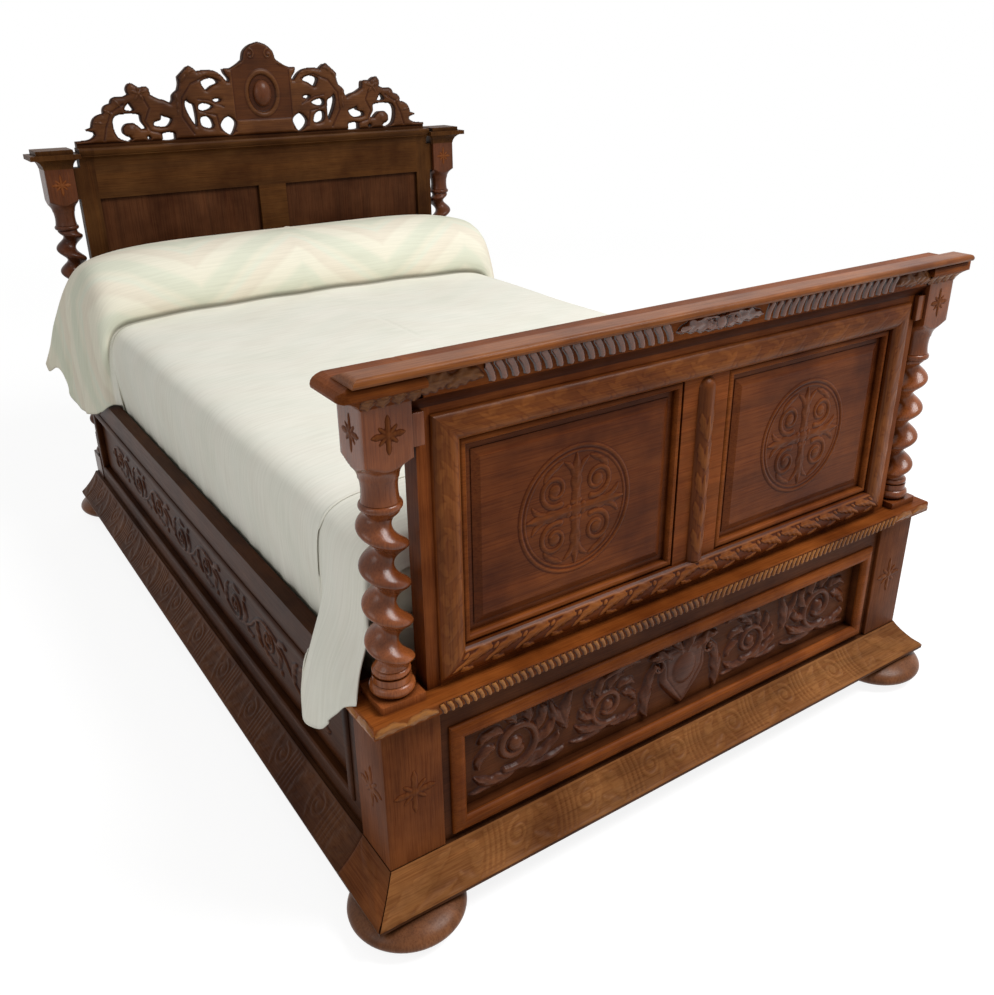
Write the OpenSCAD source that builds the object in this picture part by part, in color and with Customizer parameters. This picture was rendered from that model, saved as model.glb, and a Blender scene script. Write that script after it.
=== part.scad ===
// Carved oak double bed in the baroque revival manner: bun feet, carved plinth, panelled foot end with
// twist columns, panelled headboard with a pierced crest, side rails, slats and made-up bedding.
// Millimetres. X across the bed, the foot end at -Y, the head at +Y, +Z up.
// Origin on the floor, under the middle of the bed's overall box.

/* [Overall] */
// Width over the outer faces of the corner posts
bed_w = 1380; // [1180:10:1900]
// Length from the front of the foot posts to the back of the head posts
bed_l = 2079; // [1900:10:2300]
// Height of the foot end's top
foot_end_h = 1024; // [960:2:1100]
// Height of the headboard's cap
head_end_h = 1151; // [1120:2:1300]

/* [Feet and plinth] */
// Radius of the bun feet
bun_r = 107; // [85:1:115]
// Height of the bun feet
bun_h = 64; // [45:1:90]
// Height of the plinth moulding
plinth_h = 68; // [50:1:90]
// How far the plinth stands out of the posts
plinth_out = 54; // [40:1:75]

/* [Foot end, lower part] */
// Width of a lower corner post
post_w = 110; // [90:1:130]
// Depth of a lower corner post
post_d = 106; // [96:1:130]
// Height of a lower corner post
low_post_h = 298; // [270:2:330]
// Thickness of the ledge under the columns
ledge_t = 28; // [20:1:36]
// How far the ledge stands out of the posts
ledge_out = 29; // [15:1:40]
// Spacing of the small gadroons on the ledge
reed_p = 15.5; // [13:0.5:20]
// Width of the frame round the lower carved field
low_frame_b = 40; // [34:1:50]
// How deep the lower carved field lies
low_sink = 18; // [10:1:24]
// How far the lower carving stands out of its field
low_relief = 14; // [6:1:17]

/* [Columns] */
// Side of the columns' square blocks
col_sq = 80; // [70:1:86]
// How far the blocks lie inside the posts' outer faces
col_inset = 6; // [0:1:12]
// Largest radius of the twist
twist_r = 40; // [36:0.5:44]
// How far the twisting strand runs off its axis
twist_ecc = 12.5; // [6:0.5:16]
// Height of one turn of the twist
twist_pitch = 68; // [55:1:100]
// Angle of the twisting strand at the foot of the shaft, from the outer side of the bed
twist_start = 220; // [0:5:355]
// Largest radius of the rings at the ends of the twist
ring_r = 34; // [31:1:37]
// Height of one ring
ring_h = 14; // [10:1:18]
// Radius of the neck above the twist
neck_r = 30; // [24:1:34]

/* [Foot end, upper part] */
// Clear gap between a column's block and the panelled frame
col_gap = 12; // [8:1:30]
// Thickness of the panelled frame
frame_t = 38; // [30:1:46]
// How far the frame lies behind the posts' front
frame_set = 18; // [12:1:24]
// Width of the frame's bare edge outside its moulding
frame_edge = 24; // [16:1:40]
// Width of the leaf moulding round the panels
leaf_b = 48; // [34:1:56]
// How far the leaf moulding stands out of the frame
leaf_out = 13; // [8:1:16]
// Width of the muntin between the two panels
muntin_w = 110; // [90:1:130]
// Width of the half-round staff on the muntin
staff_w = 46; // [36:1:60]
// Width of the thin moulding round each panel
bead_b = 16; // [12:1:24]
// Width of the flat between that moulding and the raised field
flat_b = 12; // [8:1:26]
// How deep the flat lies behind the frame's face
panel_sink = 12; // [8:1:14]
// Height of the carved cornice moulding
cornice_h = 41; // [32:1:46]
// Thickness of the top board
slab_t = 13; // [10:1:24]
// Height of the hollow frieze below the cornice
frieze_h = 22; // [16:1:36]
// Radius of the carved wheel on each panel
wheel_r = 120; // [90:1:124]
// How far the carved wheel stands out of its panel
wheel_t = 6; // [3:1:8]
// Spacing of the gadroons on the cornice
gadroon_p = 22; // [18:1:30]
// Radius of one gadroon
gadroon_r = 9; // [6:0.5:10]

/* [Head end] */
// Height of the head columns' top blocks
head_block_h = 89; // [70:1:110]
// Height of the head cornice and caps
head_cap_h = 53; // [40:1:60]
// Width of the headboard's stiles
stile_w = 54; // [40:1:80]
// Height of the headboard's top rail
top_rail_h = 92; // [70:1:110]
// Width of the headboard's middle stile
head_muntin_w = 92; // [60:1:110]
// Thickness of the headboard's frame
head_t = 34; // [28:1:40]
// Thickness of the headboard's panels
head_panel_t = 12; // [8:1:16]

/* [Crest] */
// Height of the crest above its base strip
crest_h = 264; // [240:2:300]
// Thickness of the pierced board
crest_t = 24; // [18:1:28]
// How far the carved scrolls stand out of the board
crest_relief = 9; // [5:1:12]
// Height of the base strip
crest_base_h = 13; // [10:1:20]

/* [Side rails] */
// Height of a rail's top above the floor
rail_top = 458; // [430:2:462]
// Thickness of a rail
rail_t = 32; // [26:1:40]
// How far a rail lies inside the posts' outer faces
rail_inset = 9; // [4:1:14]
// Depth of the carved field in a rail
rail_sink = 12; // [8:1:14]
// Height of the band above the carved field
rail_band_h = 90; // [60:2:110]
// Height of the band below the carved field
rail_foot_h = 62; // [50:2:80]
// How far the rail's carving stands out of its field
rail_relief = 8; // [4:1:11]

/* [Slats and bedding] */
// Height of a slat's top above the floor
slat_top = 350; // [330:2:370]
// Thickness of a slat
slat_t = 20; // [16:1:26]
// Width of a slat
slat_w = 90; // [70:2:120]
// Thickness of the box spring
spring_t = 170; // [140:2:190]
// Thickness of the mattress
mattress_t = 172; // [150:2:190]
// Height of the bolster above the mattress
bolster_h = 150; // [120:2:155]
// Depth of the bolster from front to back
bolster_d = 270; // [220:2:280]
// Thickness of the bedspread
cloth_t = 6; // [4:0.5:8]

/* [Hidden] */
$fn = 48;
clr = 0.3;
front_foot_y = 14;
foot_reach = bun_r - front_foot_y;
rear_foot_y = bed_l - 51;
y_mid = (rear_foot_y + bun_r - foot_reach) / 2;
half_w = bed_w / 2;
post_z = bun_h + plinth_h;
ledge_z = post_z + low_post_h;
col_z = ledge_z + ledge_t;
bun_x = half_w - 34;
plinth_lip = 7;

col_x = half_w - col_inset - col_sq / 2;
col_y = col_sq / 2;
block_h = 86;
cornice_z = foot_end_h - slab_t - cornice_h;
col_base_h = 14;
torus_r = 38;
torus_h = 22;
twist_rc = twist_r - twist_ecc;
shoulder_h = 33;
neck_h = 47;
foot_twist_z = col_z + col_base_h + torus_h + 12 + ring_h;
foot_twist_h = cornice_z - block_h - shoulder_h - neck_h - ring_h - foot_twist_z + 8;

frame_x = col_x - col_sq / 2 - col_gap;
frame_z = col_z;
frame_top = cornice_z - frieze_h;
frame_h = frame_top - frame_z;
frame_back = frame_set + frame_t;
open_x = frame_x - frame_edge - leaf_b;
open_z = frame_z + frame_edge / 2 + leaf_b;
open_top = frame_top - frame_edge / 2 - leaf_b;
field_w = open_x - muntin_w / 2;
field_h = open_top - open_z;
field_cx = muntin_w / 2 + field_w / 2;
field_cz = (open_z + open_top) / 2;
slab_front = 25;
slab_side = 14;
slab_flat = 18;
slab_back = 46;
cap_front = 16;
cap_side = 36;
cap_inner = 18;
cap_round = 24;
cap_x0 = half_w - col_inset - col_sq;
ear_w = 22;
ear_h = 52;
gadroon_n = floor((half_w - 212) / gadroon_p) - 4;
gadroon_x0 = 121;

reed_out = 8;
reed_n = floor((half_w - 100) / reed_p);

low_x = half_w - post_w;
low_cz = post_z + (low_post_h - 44) / 2;
low_face = 8;
low_edge = low_frame_b * 0.75;
low_open_w = 2 * (low_x - 18 - low_edge);
low_open_h = low_post_h - 44 - 2 * low_frame_b;

head_y = bed_l - col_sq;
head_block_z = head_end_h - head_cap_h - head_block_h;
head_low_h = 73;
head_x = half_w - 95;
head_front = head_y + 14;
head_z0 = 400;
head_top = head_end_h - head_cap_h;
head_ring_z = post_z + head_low_h + 20 + torus_h;
head_twist_z = head_ring_z + 20 + ring_h;
head_twist_h = head_block_z - shoulder_h - neck_h - ring_h - head_twist_z + 8;
head_slab_t = 13;
head_lid_t = 12;

rail_x = half_w - rail_inset;
rail_in = rail_x - rail_t;
rail_len = head_y - post_d;
rail_field_z = post_z + rail_foot_h;
rail_field_h = rail_top - rail_band_h - rail_field_z;

crest_y = head_front + head_t - crest_t;
crest_z = head_end_h;
crest_k = crest_h / 264;

ledger_w = 34;
ledger_h = 40;
slat_n = 7;
spring_z = slat_top + clr;
mattress_z = spring_z + spring_t + clr;
mattress_top = mattress_z + mattress_t;
mattress_x = rail_in - 30;
bed_y0 = post_d + 12;
bed_y1 = head_front - 22;
crease_y = bed_y1 - 331;
bolster_y = crease_y + 44;

walnut = [0.42, 0.24, 0.13];
walnut_dark = [0.30, 0.16, 0.09];
walnut_light = [0.53, 0.33, 0.17];
linen = [0.91, 0.89, 0.80];
ticking = [0.82, 0.80, 0.74];
pine = [0.72, 0.58, 0.40];

// Points of a quadratic curve from a to b that leans towards m
function bend(a, m, b, n = 8) =
    [for (i = [0 : n]) let (t = i / n) a * (1 - t) * (1 - t) + m * 2 * t * (1 - t) + b * t * t];

// Points of a half-round bulge of a turned profile, from the bottom up
function bulge(r, z, h, n = 8) =
    [for (i = [0 : n]) let (a = -90 + 180 * i / n) [r - h / 2 + h / 2 * cos(a), z + h / 2 + h / 2 * sin(a)]];

// Points of an ellipse about c
function oval(c, rx, rz, n = 24) = [for (i = [0 : n - 1]) c + [rx * cos(360 * i / n), rz * sin(360 * i / n)]];

module place() {
    translate([0, -y_mid, 0]) children();
}

// Puts a copy on the left or the right half; shapes are drawn for the right
module side(s) {
    mirror([s < 0 ? 1 : 0, 0, 0]) children();
}

// Turns a flat drawing of x and z into a slab that stands up, from y back by t
module upright(y, t) {
    translate([0, y + t, 0]) rotate([90, 0, 0]) linear_extrude(t) children();
}

// Runs a profile of y and z along X from x0 to x1
module run_x(x0, x1) {
    translate([x0, 0, 0]) rotate([90, 0, 90]) linear_extrude(x1 - x0) children();
}

// A pointed leaf of length l and width w, from the origin along x
module leaf(l, w) {
    r = (l * l / 4 + w * w / 4) / w;
    intersection() {
        translate([l / 2, w / 2 - r]) circle(r);
        translate([l / 2, r - w / 2]) circle(r);
    }
}

// Points of a smooth curve through p, with n steps a stretch; closed curves join their ends
function curve(p, n = 4, closed = false) =
    let (m = len(p), last = closed ? m - 1 : m - 2)
    concat([for (i = [0 : last], j = [0 : n - 1])
        let (t = j / n,
            a = closed ? p[(i + m - 1) % m] : p[max(0, i - 1)],
            b = p[i],
            c = p[(i + 1) % m],
            d = closed ? p[(i + 2) % m] : p[min(m - 1, i + 2)])
        0.5 * (2 * b + (c - a) * t + (2 * a - 5 * b + 4 * c - d) * t * t + (3 * b - a - 3 * c + d) * t * t * t)],
        closed ? [] : [p[m - 1]]);

// Points of a spiral from radius r0 at angle a0 to radius r1 at angle a1
function spiral(r0, r1, a0, a1, n = 14) =
    [for (i = [0 : n]) let (t = i / n, a = a0 + (a1 - a0) * t, r = r0 + (r1 - r0) * t) [r * cos(a), r * sin(a)]];

// A stem along the points p, w0 wide at its start and w1 at its end
module stem(p, w0, w1) {
    m = len(p);
    n = [for (i = [0 : m - 1]) let (d = p[min(m - 1, i + 1)] - p[max(0, i - 1)]) [-d[1], d[0]] / norm(d)];
    w = [for (i = [0 : m - 1]) (w0 + (w1 - w0) * i / (m - 1)) / 2];
    polygon(concat([for (i = [0 : m - 1]) p[i] + n[i] * w[i]], [for (i = [m - 1 : -1 : 0]) p[i] - n[i] * w[i]]));
}

// Outline of a hollow moulding that widens upwards: x0 to x1 at z, more by l and r at z plus h
module flared(x0, x1, z, h, l, r) {
    polygon(concat(
        bend([x1, z], [x1 + r * 0.15, z + h * 0.75], [x1 + r, z + h]),
        bend([x0 - l, z + h], [x0 - l * 0.15, z + h * 0.75], [x0, z])));
}

// A block whose sides flare out to a moulding; its back stays flush
module flared_block(x0, x1, y0, y1, z, h, l, r, f) {
    intersection() {
        upright(y0 - f, y1 - y0 + f) flared(x0, x1, z, h, l, r);
        run_x(x0 - l, x1 + r) flared(y0, y1, z, h, f, 0);
    }
}

// Four mitred lengths of a moulding round an opening w by h; the child is drawn with x outwards, z forwards
module mitred_frame(w, h, b, d) {
    for (s = [-1, 1]) {
        intersection() {
            translate([0, s * h / 2, 0]) rotate([0, 0, s > 0 ? 90 : -90]) rotate([90, 0, 0])
                linear_extrude(w + 2 * b, center = true) children();
            linear_extrude(d) polygon([[-w / 2, s * h / 2], [w / 2, s * h / 2],
                [w / 2 + b, s * (h / 2 + b)], [-w / 2 - b, s * (h / 2 + b)]]);
        }
        intersection() {
            translate([s * w / 2, 0, 0]) rotate([0, 0, s > 0 ? 0 : 180]) rotate([90, 0, 0])
                linear_extrude(h + 2 * b, center = true) children();
            linear_extrude(d) polygon([[s * w / 2, -h / 2], [s * w / 2, h / 2],
                [s * (w / 2 + b), h / 2 + b], [s * (w / 2 + b), -h / 2 - b]]);
        }
    }
}

// Stands a flat thing up against a plane at y, its front towards the foot of the bed
module on_face(x, y, z) {
    translate([x, y, z]) rotate([90, 0, 0]) children();
}

// Outline of a leaf moulding: a fat rounded back that falls to a thin inner edge
module bolection(b, d) {
    polygon(concat([[0, 0]], bend([0, d * 0.35], [b * 0.15, d * 1.25], [b * 0.55, d]),
        bend([b * 0.55, d], [b * 0.95, d * 0.9], [b, d * 0.2]), [[b, 0]]));
}

// Stands a flat thing up in the middle of the left or right field, sunk behind the frame's face
module on_field(s, sink) {
    on_face(s * field_cx, frame_set + sink, field_cz) children();
}

// Feet
module bun_foot(x, y) {
    dome = bun_r * 0.84;
    translate([x, y, 0])
        rotate_extrude()
            polygon(concat([[0, 0]], [for (a = [-90 : 15 : 90])
                [bun_r - dome + dome * cos(a), bun_h / 2 + bun_h / 2 * sin(a)]], [[0, bun_h]]));
}

// Plinth profile, x outwards from the posts' face, z up from the plinth's foot
module plinth_outline() {
    polygon(concat([[-post_d, 0], [plinth_out, 0]],
        bend([plinth_out, plinth_lip], [20, plinth_h / 2], [0, plinth_h]), [[-post_d, plinth_h]]));
}

module plinth_side(y0, y1) {
    translate([half_w, y1, bun_h]) rotate([90, 0, 0]) linear_extrude(y1 - y0) plinth_outline();
}

module foot_plinth_body() {
    w = half_w + plinth_out;
    in = half_w - post_d;
    intersection() {
        translate([-w, 0, bun_h]) rotate([90, 0, 90]) linear_extrude(2 * w) mirror([1, 0]) plinth_outline();
        linear_extrude(post_z) polygon([[-w, -plinth_out], [w, -plinth_out], [in, post_d], [-in, post_d]]);
    }
    for (s = [-1, 1]) side(s) intersection() {
        plinth_side(-plinth_out, post_d);
        linear_extrude(post_z) polygon([[w, -plinth_out], [w, post_d], [in, post_d]]);
    }
}

// A four-petalled carved flower lying on its face
module fleuron(r, t) {
    linear_extrude(t) {
        for (a = [0 : 90 : 270]) rotate(a) translate([r * 0.1, 0]) leaf(r * 0.9, r * 0.42);
        for (a = [45 : 90 : 315]) rotate(a) translate([r * 0.1, 0]) leaf(r * 0.5, r * 0.26);
    }
    cylinder(r = r * 0.24, h = t * 1.4);
}

module low_post() {
    x0 = half_w - post_w;
    translate([x0, 0, post_z]) cube([post_w, post_d, low_post_h]);
    on_face(x0 + post_w / 2, 0, post_z + low_post_h / 2) fleuron(38, 6);
    translate([half_w, post_d / 2, post_z + low_post_h / 2]) rotate([90, 0, 90]) fleuron(38, 6);
}

module low_board() {
    back = 30;
    difference() {
        upright(low_face, low_sink) translate([-low_x, post_z]) square([2 * low_x, low_post_h]);
        upright(low_face - 1, low_sink + 2)
            translate([-low_open_w / 2, low_cz - low_open_h / 2]) square([low_open_w, low_open_h]);
    }
    upright(low_face + low_sink, back) translate([-low_x, post_z]) square([2 * low_x, low_post_h]);
}

module low_moulding() {
    out = 10;
    on_face(0, low_face, low_cz) mitred_frame(low_open_w, low_open_h, low_edge, out + 2) bolection(low_edge, out);
}

// Shield with a boss between leaves
module shield() {
    linear_extrude(low_relief * 0.7) {
        intersection() {
            translate([0, 22]) circle(96);
            translate([-78, -30]) circle(168);
            translate([78, -30]) circle(168);
            translate([-88, -96]) square([176, 172]);
        }
        for (s = [-1, 1]) {
            translate([s * 24, 52]) rotate(90 - s * 22) leaf(52, 26);
            translate([s * 62, 34]) rotate(90 - s * 40) leaf(58, 26);
        }
    }
    translate([0, 22, 0]) intersection() {
        translate([0, 0, low_relief - 62]) sphere(62);
        cylinder(r = 46, h = low_relief);
    }
}

// A rolled stem with its ball and curling leaves, as the lower field and the rails have
module scroll_spray(k, t) {
    linear_extrude(t) scale(k) {
        stem(spiral(74, 24, -110, 300, 18), 16, 26);
        circle(22);
        for (a = [10 : 38 : 162]) rotate(a)
            stem(bend([56, -8], [92, 2], [100, 30], 5), 26, 3);
        stem(bend([4, -66], [74, -66], [112, -18], 7), 30, 4);
        stem(bend([10, -72], [90, -84], [124, -62], 7), 22, 3);
        stem(bend([14, -72], [-60, -96], [-104, -48], 7), 26, 4);
        stem(bend([-40, -74], [-92, -74], [-118, -84], 5), 18, 3);
    }
}

module low_carving() {
    k = min(low_open_w / 1270, low_open_h / 207);
    on_face(0, low_face + low_sink, low_cz) {
        scale([k, k, 1]) shield();
        for (s = [-1, 1]) {
            translate([s * low_open_w * 0.178, 2, 0]) mirror([s < 0 ? 1 : 0, 0])
                scroll_spray(k * 0.83, low_relief * 0.7);
            translate([s * low_open_w * 0.385, 6, 0]) mirror([s > 0 ? 1 : 0, 0]) scroll_spray(k, low_relief);
        }
    }
}

module ledge_board() {
    w = half_w;
    intersection() {
        upright(-ledge_out, post_d + ledge_out) ledge_outline(-w, w, ledge_out, ledge_out);
        run_x(-w - ledge_out, w + ledge_out) ledge_outline(0, post_d, ledge_out, 0);
    }
}

module ledge_outline(x0, x1, l, r) {
    inner = 1 - reed_out / ledge_out;
    polygon([[x0 - l * 0.3, ledge_z], [x1 + r * 0.3, ledge_z], [x1 + r * inner, ledge_z + 5],
        [x1 + r * inner, col_z - 3], [x1 + r * inner * 0.9, col_z],
        [x0 - l * inner * 0.9, col_z], [x0 - l * inner, col_z - 3], [x0 - l * inner, ledge_z + 5]]);
}

module ledge_gadroon_row() {
    y = reed_out - ledge_out;
    z = ledge_z + 5;
    h = ledge_t - 8;
    gadroons(reed_p / 2 + 4, reed_n, reed_p, reed_out - 0.5, z, h, y, 30)
        polygon(concat(bend([y, z], [y - reed_out, z], [y - reed_out, z + h * 0.4], 4),
            bend([y - reed_out, z + h * 0.7], [y - reed_out, z + h], [y, z + h], 4)));
}

// Column: turned base, twisted shaft, neck and a square block whose shoulder is turned.
// A core runs through it, so that it stays one piece at any size.
module column(z_base, base_h, twist_z, twist_h, top_z, top_h, sides, per_turn, hand) {
    translate([0, 0, z_base]) cylinder(r = 12, h = top_z - z_base, $fn = 12);
    neck_z = twist_z + twist_h + ring_h;
    translate([-col_sq / 2, -col_sq / 2, z_base]) cube([col_sq, col_sq, base_h]);
    rotate_extrude() polygon(concat([[0, z_base + base_h]],
        bulge(torus_r, z_base + base_h, torus_h),
        [[neck_r, z_base + base_h + torus_h + 4]],
        bulge(ring_r - 2, twist_z - ring_h, ring_h), [[0, twist_z]]));
    translate([0, 0, twist_z])
        linear_extrude(twist_h, twist = hand * 360 * twist_h / twist_pitch,
            slices = round(per_turn * twist_h / twist_pitch), $fn = sides)
            rotate(-hand * twist_start) translate([twist_ecc, 0]) circle(twist_rc);
    rotate_extrude() polygon(concat([[0, twist_z + twist_h]],
        bulge(ring_r, twist_z + twist_h, ring_h),
        bend([neck_r, neck_z], [neck_r - 3, (neck_z + top_z - shoulder_h) / 2], [neck_r + 1, top_z - shoulder_h]),
        [[0, top_z - shoulder_h]]));
    intersection() {
        translate([-col_sq / 2, -col_sq / 2, top_z - shoulder_h]) cube([col_sq, col_sq, shoulder_h + top_h]);
        rotate_extrude() polygon(concat([[0, top_z - shoulder_h]],
            bend([neck_r + 1, top_z - shoulder_h], [neck_r + 6, top_z - 12], [col_sq * 0.72, top_z]),
            [[col_sq * 0.72, top_z + top_h], [0, top_z + top_h]]));
    }
}

module foot_column(s) {
    side(s) translate([col_x, col_y, 0]) {
        column(col_z, col_base_h, foot_twist_z, foot_twist_h, cornice_z - block_h, block_h, 16, 12, -1);
        on_face(0, -col_sq / 2, cornice_z - block_h / 2) fleuron(27, 4);
        translate([col_sq / 2, 0, cornice_z - block_h / 2]) rotate([90, 0, 90]) fleuron(27, 4);
        translate([-col_sq / 2 - ear_w, frame_set - col_y - 12, frame_top - ear_h]) cube([ear_w + 1, 12, ear_h]);
    }
}

module head_column(s) {
    side(s) translate([col_x, head_y + col_sq / 2, 0])
        column(post_z, head_low_h, head_twist_z, head_twist_h, head_block_z, head_block_h, 12, 10, -1);
}

module panel_frame_board() {
    difference() {
        upright(frame_set, frame_t) translate([-frame_x, frame_z]) square([2 * frame_x, frame_h]);
        for (s = [-1, 1]) upright(frame_set - 1, frame_t + 2)
            translate([s * field_cx - field_w / 2, open_z]) square([field_w, field_h]);
    }
}

// A field panel: thin board, sunk flat and a raised middle with sloping edges
module field_panel() {
    w = field_w;
    rw = w - 2 * (bead_b + flat_b);
    rh = field_h - 2 * (bead_b + flat_b);
    slope = 14;
    back = frame_t - panel_sink;
    translate([-w / 2, -field_h / 2, -back]) cube([w, field_h, back]);
    translate([0, 0, -1]) intersection() {
        translate([0, rh / 2, 0]) rotate([90, 0, 0]) linear_extrude(rh) bevel(rw, slope);
        translate([-rw / 2, 0, 0]) rotate([90, 0, 90]) linear_extrude(rw) bevel(rh, slope);
    }
}

module bevel(w, slope) {
    t = panel_sink * 0.6 + 1;
    polygon([[-w / 2, 0], [w / 2, 0], [w / 2, 2.5], [w / 2 - slope, t], [slope - w / 2, t], [-w / 2, 2.5]]);
}

module field_bead() {
    mitred_frame(field_w - 2 * bead_b, field_h - 2 * bead_b, bead_b, panel_sink) bolection(bead_b, panel_sink);
}

// Wheel with a rolled leaf in each quarter and four leaf arms, cut in low relief
module wheel() {
    k = wheel_r / 120;
    linear_extrude(wheel_t) scale(k) {
        difference() {
            circle(120);
            circle(111);
        }
        for (a = [45 : 90 : 315]) rotate(a) translate([66, 0])
            stem(spiral(38, 11, -172, 230, 18), 9, 12);
        for (a = [0 : 90 : 270]) rotate(a) translate([8, 0]) leaf(96, 23);
        circle(17);
    }
}

module staff() {
    r = staff_w / 2;
    z0 = open_z;
    z1 = open_top - r - clr;
    depth = leaf_out;
    intersection() {
        translate([0, frame_set + r - depth, 0]) {
            translate([0, 0, z0]) cylinder(r = r, h = z1 - z0);
            translate([0, 0, z1]) sphere(r);
        }
        translate([-r, frame_set - depth - 1, z0]) cube([2 * r, depth + 1, z1 - z0 + r]);
    }
}

module frieze_profile() {
    polygon(concat([[frame_back, frame_top]],
        [[frame_set, frame_top]],
        bend([frame_set, frame_top], [frame_set - 2, cornice_z - 10], [0, cornice_z]),
        [[frame_back, cornice_z]]));
}

module cornice_profile() {
    face = -2;
    polygon([[0, cornice_z], [face, cornice_z + 2], [face, cornice_z + cornice_h - 4], [face - 7, cornice_z + cornice_h],
        [col_sq, cornice_z + cornice_h], [col_sq, cornice_z]]);
}

// A row of n leaning gadroons from x0 on, each a half-round staff; the child is the moulding's outline
module gadroons(x0, n, pitch, r, z, h, y, lean) {
    reach = h / 2 + r;
    for (s = [-1, 1]) side(s) intersection() {
        run_x(x0 - pitch / 2, x0 + (n - 0.5) * pitch) children();
        union() {
            for (i = [0 : n - 1]) translate([x0 + i * pitch, y, z + h / 2]) rotate([0, lean, 0])
                translate([0, 0, -reach]) linear_extrude(2 * reach)
                    polygon([for (a = [180 : 22.5 : 360]) [r * cos(a), r * sin(a)]]);
            translate([x0 - pitch / 2, y - r * 0.25, z]) cube([n * pitch, r * 0.25, h]);
        }
    }
}

module gadroon_row() {
    y = -2;
    z = cornice_z + 3;
    h = cornice_h - 8;
    gadroons(gadroon_x0, gadroon_n, gadroon_p, gadroon_r, z, h, y, 24)
        polygon(concat(bend([y, z], [y - gadroon_r, z], [y - gadroon_r, z + h * 0.35], 4),
            bend([y - gadroon_r, z + h * 0.65], [y - gadroon_r, z + h], [y, z + h], 4)));
}

// Outline of a cap: a hollow that runs out to a rounded nose, by l and r, and in again at the top
module cap_outline(x0, x1, l, r) {
    z = cornice_z;
    nose = cornice_z + cornice_h * 0.5;
    top = cornice_z + cornice_h;
    polygon(concat(
        bend([x1, z], [x1 + r * 0.2, nose - 4], [x1 + r, nose], 5),
        bend([x1 + r + 1, nose + 5], [x1 + r, top - 4], [x1 + r * 0.5, top], 4),
        bend([x0 - l * 0.5, top], [x0 - l, top - 4], [x0 - l - 1, nose + 5], 4),
        bend([x0 - l, nose], [x0 - l * 0.2, nose - 4], [x0, z], 5)));
}

module foot_cap_body(s) {
    x1 = cap_x0 + col_sq;
    side(s) intersection() {
        upright(-cap_front - 1, col_sq + cap_front + 1) cap_outline(cap_x0, x1, cap_inner, cap_side);
        run_x(cap_x0 - cap_inner - 1, x1 + cap_side + 1) cap_outline(0, col_sq + 1, cap_front, 0);
        translate([0, 0, cornice_z]) linear_extrude(cornice_h) cap_plan(cap_x0 - cap_inner - 1, x1 + cap_side + 1);
    }
}

// Plan of a cap, rounded at its outer front corner
module cap_plan(x0, x1) {
    y0 = -cap_front - 1;
    polygon(concat([[x0, col_sq], [x0, y0]], bend([x1 - cap_round, y0], [x1, y0], [x1, y0 + cap_round], 6),
        [[x1, col_sq]]));
}

// Top board: a rounded nose in front, a narrow flat and a back that falls away
module top_board() {
    z = cornice_z + cornice_h;
    w = half_w + slab_side;
    intersection() {
        run_x(-w, w) polygon(concat([[slab_back, z], [2 - slab_front, z]],
            bend([-slab_front, z + slab_t * 0.3], [-slab_front, foot_end_h], [8 - slab_front, foot_end_h]),
            [[slab_flat, foot_end_h]]));
        upright(-slab_front, slab_back + slab_front) polygon(concat([[-w, z], [w, z]],
            bend([w, z + 1], [w, foot_end_h], [w - slab_t, foot_end_h]),
            bend([slab_t - w, foot_end_h], [-w, foot_end_h], [-w, z + 1])));
    }
}

// Headboard
module headboard_frame_board() {
    difference() {
        upright(head_front, head_t) union() {
            translate([-head_x, head_z0]) square([2 * head_x, head_top - head_z0]);
            translate([-cap_x0, head_block_z]) square([2 * cap_x0, head_top - head_block_z]);
        }
        for (s = [-1, 1]) upright(head_front - 1, head_t + 2) head_field(s);
    }
}

// Opening for one headboard panel
module head_field(s) {
    x0 = head_muntin_w / 2;
    w = head_x - stile_w - x0;
    z0 = head_z0 + 100;
    translate([s > 0 ? x0 : -x0 - w, z0]) square([w, head_top - top_rail_h - z0]);
}

module head_panel(s) {
    upright(head_front + head_panel_t, head_panel_t) head_field(s);
}

// Cap of a head column: a hollow, a slab and a block, on a core that keeps them in one piece
module head_cap_body(s) {
    slab_z = head_end_h - head_slab_t - head_lid_t;
    side(s) {
        flared_block(cap_x0, cap_x0 + col_sq, head_y, bed_l, head_top, slab_z - head_top, 16, 22, 18);
        translate([cap_x0 - 22, head_y - 26, slab_z]) cube([col_sq + 56, col_sq + 26, head_slab_t]);
        translate([cap_x0 - 6, head_y - 10, head_end_h - head_lid_t]) cube([col_sq + 22, col_sq + 10, head_lid_t]);
        translate([cap_x0 + 5, head_y + 5, head_top]) cube([col_sq - 10, col_sq - 10, head_cap_h - 1]);
    }
}

module head_cornice_body() {
    z = head_top;
    x = cap_x0 - 22;
    run_x(-x, x) polygon(concat([[head_front + head_t, z]],
        bend([head_front, z], [head_front - 3, z + 28], [head_front - 18, z + 30]),
        [[head_front - 18, z + 34]],
        bend([head_front - 20, z + 34], [head_front - 28, z + 44], [head_front - 26, head_end_h - 4]),
        [[head_front - 24, head_end_h], [head_front + head_t, head_end_h]]));
}

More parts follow.
